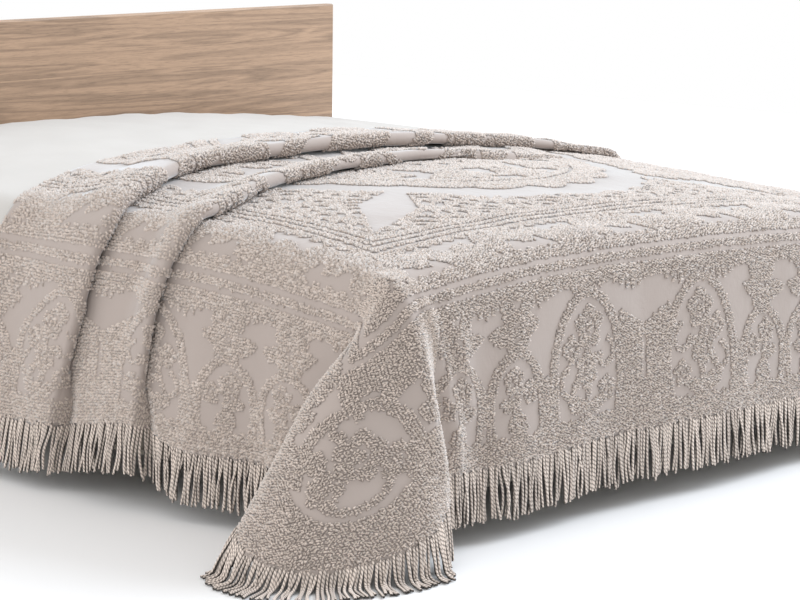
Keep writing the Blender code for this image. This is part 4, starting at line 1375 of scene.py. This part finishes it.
def make_base(settings):
    """The upholstered base: pulled over its corners, with a welt round its lower edge."""
    low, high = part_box("bed_base")
    middle = [(a + b) / 2 for a, b in zip(low, high)]
    made = bmesh.new()
    bmesh.ops.create_cube(made, size=1)
    bmesh.ops.scale(made, vec=[b - a - 0.004 for a, b in zip(low, high)], verts=made.verts)
    bmesh.ops.translate(made, vec=middle, verts=made.verts)
    bmesh.ops.bevel(
        made, geom=made.edges[:], offset=0.014, offset_type="OFFSET", segments=5, profile=0.5,
        affect="EDGES",
    )
    long = [edge for edge in made.edges if edge.calc_length() > 0.1]
    bmesh.ops.subdivide_edges(made, edges=long, cuts=12, use_grid_fill=True)
    for vertex in made.verts:
        slack = abs(math.sin(vertex.co.x * 31) * math.sin(vertex.co.y * 27) * 0.0012)
        vertex.co.z += -slack if vertex.co.z > middle[2] + 0.05 else slack
    mesh = bpy.data.meshes.new("bed_base_cover")
    made.to_mesh(mesh)
    made.free()
    mesh.shade_smooth()
    material = woven_cotton("Oatmeal linen upholstery", settings.base_colour, "", 0.2, 0.4 * MM)
    piece = add_piece("bed_base_cover", mesh, material)
    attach(piece, "root")
    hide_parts("bed_base")

    line = bpy.data.curves.new("base_welt", "CURVE")
    line.dimensions = "3D"
    line.bevel_depth = WELT_RADIUS
    line.bevel_resolution = 2
    spline = line.splines.new("POLY")
    spline.points.add(4 * 7 - 1)
    corners = ((low.x, low.y), (high.x, low.y), (high.x, high.y), (low.x, high.y))
    for i, point in enumerate(spline.points):
        x, y = corners[i // 7]
        angle = math.radians(180 + 90 * (i // 7) + 15 * (i % 7))
        x = x + (0.02 if x == low.x else -0.02) + 0.02 * math.cos(angle)
        y = y + (0.02 if y == low.y else -0.02) + 0.02 * math.sin(angle)
        centre = ((x - middle[0]) * 0.998 + middle[0], (y - middle[1]) * 0.998 + middle[1])
        point.co = (*centre, low.z + 0.017, 1)
    spline.use_cyclic_u = True
    tube = evaluated(add_piece("base_welt", line))
    tube.materials.clear()
    tube.shade_smooth()
    welt = add_piece("base_welt", tube, material)
    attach(welt, "root")


def finish_oak(settings):
    """The oak of the headboard, its posts and the legs, whose solids are kept."""
    across = oiled_oak("Oiled oak, grain across", settings.oak_colour, "x")
    upright = oiled_oak("Oiled oak, grain upright", settings.oak_colour, "z")
    for name in frame["nodes"]:
        if name.startswith(("headboard", "leg_")):
            for slot in bpy.data.objects[name].material_slots:
                slot.material = across if name == "headboard" else upright


def make_stage(settings):
    """A pale floor, a soft light from the far side, a weaker one from the head end, and the camera."""
    half = FLOOR_HALF
    corners = [(-half, -half), (half, -half), (half, half), (-half, half)]
    corners = [(x, y, -0.0005) for x, y in corners]
    mesh = mesh_from("floor", corners, [(0, 1, 2, 3)])
    material, add = start_material("Pale studio floor", linear("e8e8e8"))
    place = add("ShaderNodeTexCoord").outputs["Object"]
    cloud = add("ShaderNodeTexNoise", {"Vector": place, "Scale": 1 / 1.5})
    shades = {0: cloud, 6: linear("e6e6e6"), 7: linear("ebebeb")}
    end_material(add, {"Base Color": add("ShaderNodeMix", shades, data_type="RGBA"), "Roughness": 0.9})
    add_piece("floor", mesh, material)

    scene = bpy.context.scene
    scene.world = bpy.data.worlds.new("studio")
    scene.world.use_nodes = True
    sky = scene.world.node_tree.nodes["Background"].inputs
    sky["Color"].default_value = (1.0, 1.0, 1.0, 1.0)
    sky["Strength"].default_value = settings.fill_light
    lamps = (
        ("key", settings.key_light, (0.92, 1.0, 1.10), KEY_FROM),
        ("side", settings.side_light, (1.0, 0.98, 0.98), SIDE_FROM),
    )
    for name, strength, colour, source in lamps:
        box = bpy.data.lights.new(name, "AREA")
        box.shape = "DISK"
        box.size = LAMP_WIDTH
        box.energy = strength * math.pi * LAMP_DISTANCE**2
        box.color = colour
        lamp = bpy.data.objects.new(name, box)
        way = Vector(source).normalized()
        lamp.rotation_euler = way.to_track_quat("Z", "Y").to_euler()
        lamp.location = way * LAMP_DISTANCE
        scene.collection.objects.link(lamp)

    data = bpy.data.cameras.new("camera")
    data.lens = CAMERA_LENS
    data.sensor_width = 36
    data.clip_end = 200
    camera = bpy.data.objects.new("camera", data)
    camera.matrix_world = Matrix.Translation(Vector(CAMERA_AT) + BED_CORNER)
    yaw, pitch, roll = (math.radians(angle) for angle in CAMERA_TURN)
    for angle, axis in ((-yaw, "Z"), (math.pi / 2 - pitch, "X"), (roll, "Z")):
        camera.matrix_world @= Matrix.Rotation(angle, 4, axis)
    scene.collection.objects.link(camera)
    scene.camera = camera
    scene.view_settings.view_transform = "Standard"
    scene.view_settings.look = "None"


def colour_of(name, description, code):
    """A setting that holds a colour."""
    limits = {"size": 4, "min": 0, "max": 1, "subtype": "COLOR"}
    return bpy.props.FloatVectorProperty(
        name=name, description=description, default=linear(code), **limits
    )


def length_of(name, description, default, low, high):
    """A setting that holds a length, given in millimetres."""
    limits = {"min": low * MM, "max": high * MM, "unit": "LENGTH"}
    return bpy.props.FloatProperty(name=name, description=description, default=default * MM, **limits)


def strength_of(name, description, default, high):
    """A setting that holds the strength of a light."""
    return bpy.props.FloatProperty(
        name=name, description=description, default=default, min=0, max=high
    )


class BedspreadSettings(bpy.types.PropertyGroup):
    """Sizes and colours of the spread."""

    ground_colour: colour_of(
        "Ground colour", "Colour of the plain-woven cotton under the tufts", "ab9f98"
    )
    pile_colour: colour_of("Pile colour", "Colour of the tufts", "d9cabf")
    cord_colour: colour_of("Fringe colour", "Colour of the twisted cords", "cec1b7")
    cloth_thickness: length_of("Cloth thickness", "Thickness of the cotton ground", 1.6, 0.5, 3)
    tuft_spacing: length_of("Tuft spacing", "Distance from one tuft to the next", 5.5, 5, 20)
    pile_height: length_of("Pile height", "How high a tuft stands", 4.4, 1, 10)
    fringe_length: length_of("Fringe length", "Length of a cord below the hem", 103, 30, 120)
    cord_diameter: length_of("Cord diameter", "Thickness of a fringe cord", 6.4, 2, 8)
    cord_spacing: length_of("Cord spacing", "Distance from one fringe cord to the next", 7.1, 4, 20)


class BedSettings(bpy.types.PropertyGroup):
    """Colours of the plain bed."""

    cover_colour: colour_of("Cover colour", "Colour of the mattress's fitted cover", "c2bfbb")
    base_colour: colour_of("Base colour", "Colour of the base's upholstery", "8f887e")
    oak_colour: colour_of("Oak colour", "Colour of the headboard, its posts and the legs", "a88c74")


class StudioSettings(bpy.types.PropertyGroup):
    """Strength of the studio's light."""

    key_light: strength_of("Key light", "Strength of the soft light from the far side", 2.95, 20)
    side_light: strength_of(
        "Side light", "Strength of the weaker light from the near side's head end", 0.88, 20
    )
    fill_light: strength_of("Fill light", "Strength of the light from all round", 1.0, 5)


class MakeMattress(bpy.types.Operator):
    """Make the mattress in its fitted cover"""

    bl_idname = "bedspread.make_mattress"
    bl_label = "Mattress"

    def execute(self, context):
        make_mattress(context.scene.bed)
        return {"FINISHED"}


class MakeBase(bpy.types.Operator):
    """Make the upholstered base with its welt"""

    bl_idname = "bedspread.make_base"
    bl_label = "Upholstered base"

    def execute(self, context):
        make_base(context.scene.bed)
        return {"FINISHED"}


class FinishOak(bpy.types.Operator):
    """Give the headboard, its posts and the legs their oak"""

    bl_idname = "bedspread.finish_oak"
    bl_label = "Oak headboard and legs"

    def execute(self, context):
        finish_oak(context.scene.bed)
        return {"FINISHED"}


class MakeTufts(bpy.types.Operator):
    """Tuft the pattern of the spread"""

    bl_idname = "bedspread.make_tufts"
    bl_label = "Tufted pattern"

    def execute(self, context):
        make_tufts(context.scene.bedspread)
        return {"FINISHED"}


class MakeFringe(bpy.types.Operator):
    """Hang the fringe of cords from the hem"""

    bl_idname = "bedspread.make_fringe"
    bl_label = "Cord fringe"

    def execute(self, context):
        make_fringe(context.scene.bedspread)
        return {"FINISHED"}


class MakeCloth(bpy.types.Operator):
    """Drape the cloth, once the tufts and the fringe are made"""

    bl_idname = "bedspread.make_cloth"
    bl_label = "Draped cloth"

    def execute(self, context):
        make_cloth(context.scene.bedspread)
        return {"FINISHED"}


class MakeStage(bpy.types.Operator):
    """Make the floor, the lights and the camera"""

    bl_idname = "bedspread.make_stage"
    bl_label = "Studio stage"

    def execute(self, context):
        make_stage(context.scene.studio)
        return {"FINISHED"}


OPERATORS = (MakeMattress, MakeBase, FinishOak, MakeTufts, MakeFringe, MakeCloth, MakeStage)


class BedspreadPanel(bpy.types.Panel):
    """Lists the pieces of the bedspread"""

    bl_idname = "VIEW3D_PT_bedspread"
    bl_label = "Bedspread"
    bl_space_type = "VIEW_3D"
    bl_region_type = "UI"
    bl_category = "Bedspread"

    def draw(self, context):
        for group in SETTINGS:
            settings = getattr(context.scene, group)
            box = self.layout.box()
            for name in settings.bl_rna.properties.keys():
                if name not in ("rna_type", "name"):
                    box.prop(settings, name)
        for operator in OPERATORS:
            self.layout.operator(operator.bl_idname)


SETTINGS = {"bedspread": BedspreadSettings, "bed": BedSettings, "studio": StudioSettings}
CLASSES = (*SETTINGS.values(), *OPERATORS, BedspreadPanel)


def register():
    for entry in CLASSES:
        bpy.utils.register_class(entry)
    for name, group in SETTINGS.items():
        setattr(bpy.types.Scene, name, bpy.props.PointerProperty(type=group))


def unregister():
    for name in SETTINGS:
        delattr(bpy.types.Scene, name)
    for entry in reversed(CLASSES):
        bpy.utils.unregister_class(entry)


def main():
    """Makes every piece in order."""
    register()
    bpy.ops.bedspread.make_mattress()
    bpy.ops.bedspread.make_base()
    bpy.ops.bedspread.finish_oak()
    bpy.ops.bedspread.make_tufts()
    bpy.ops.bedspread.make_fringe()
    bpy.ops.bedspread.make_cloth()
    bpy.ops.bedspread.make_stage()


if __name__ == "__main__":
    main()
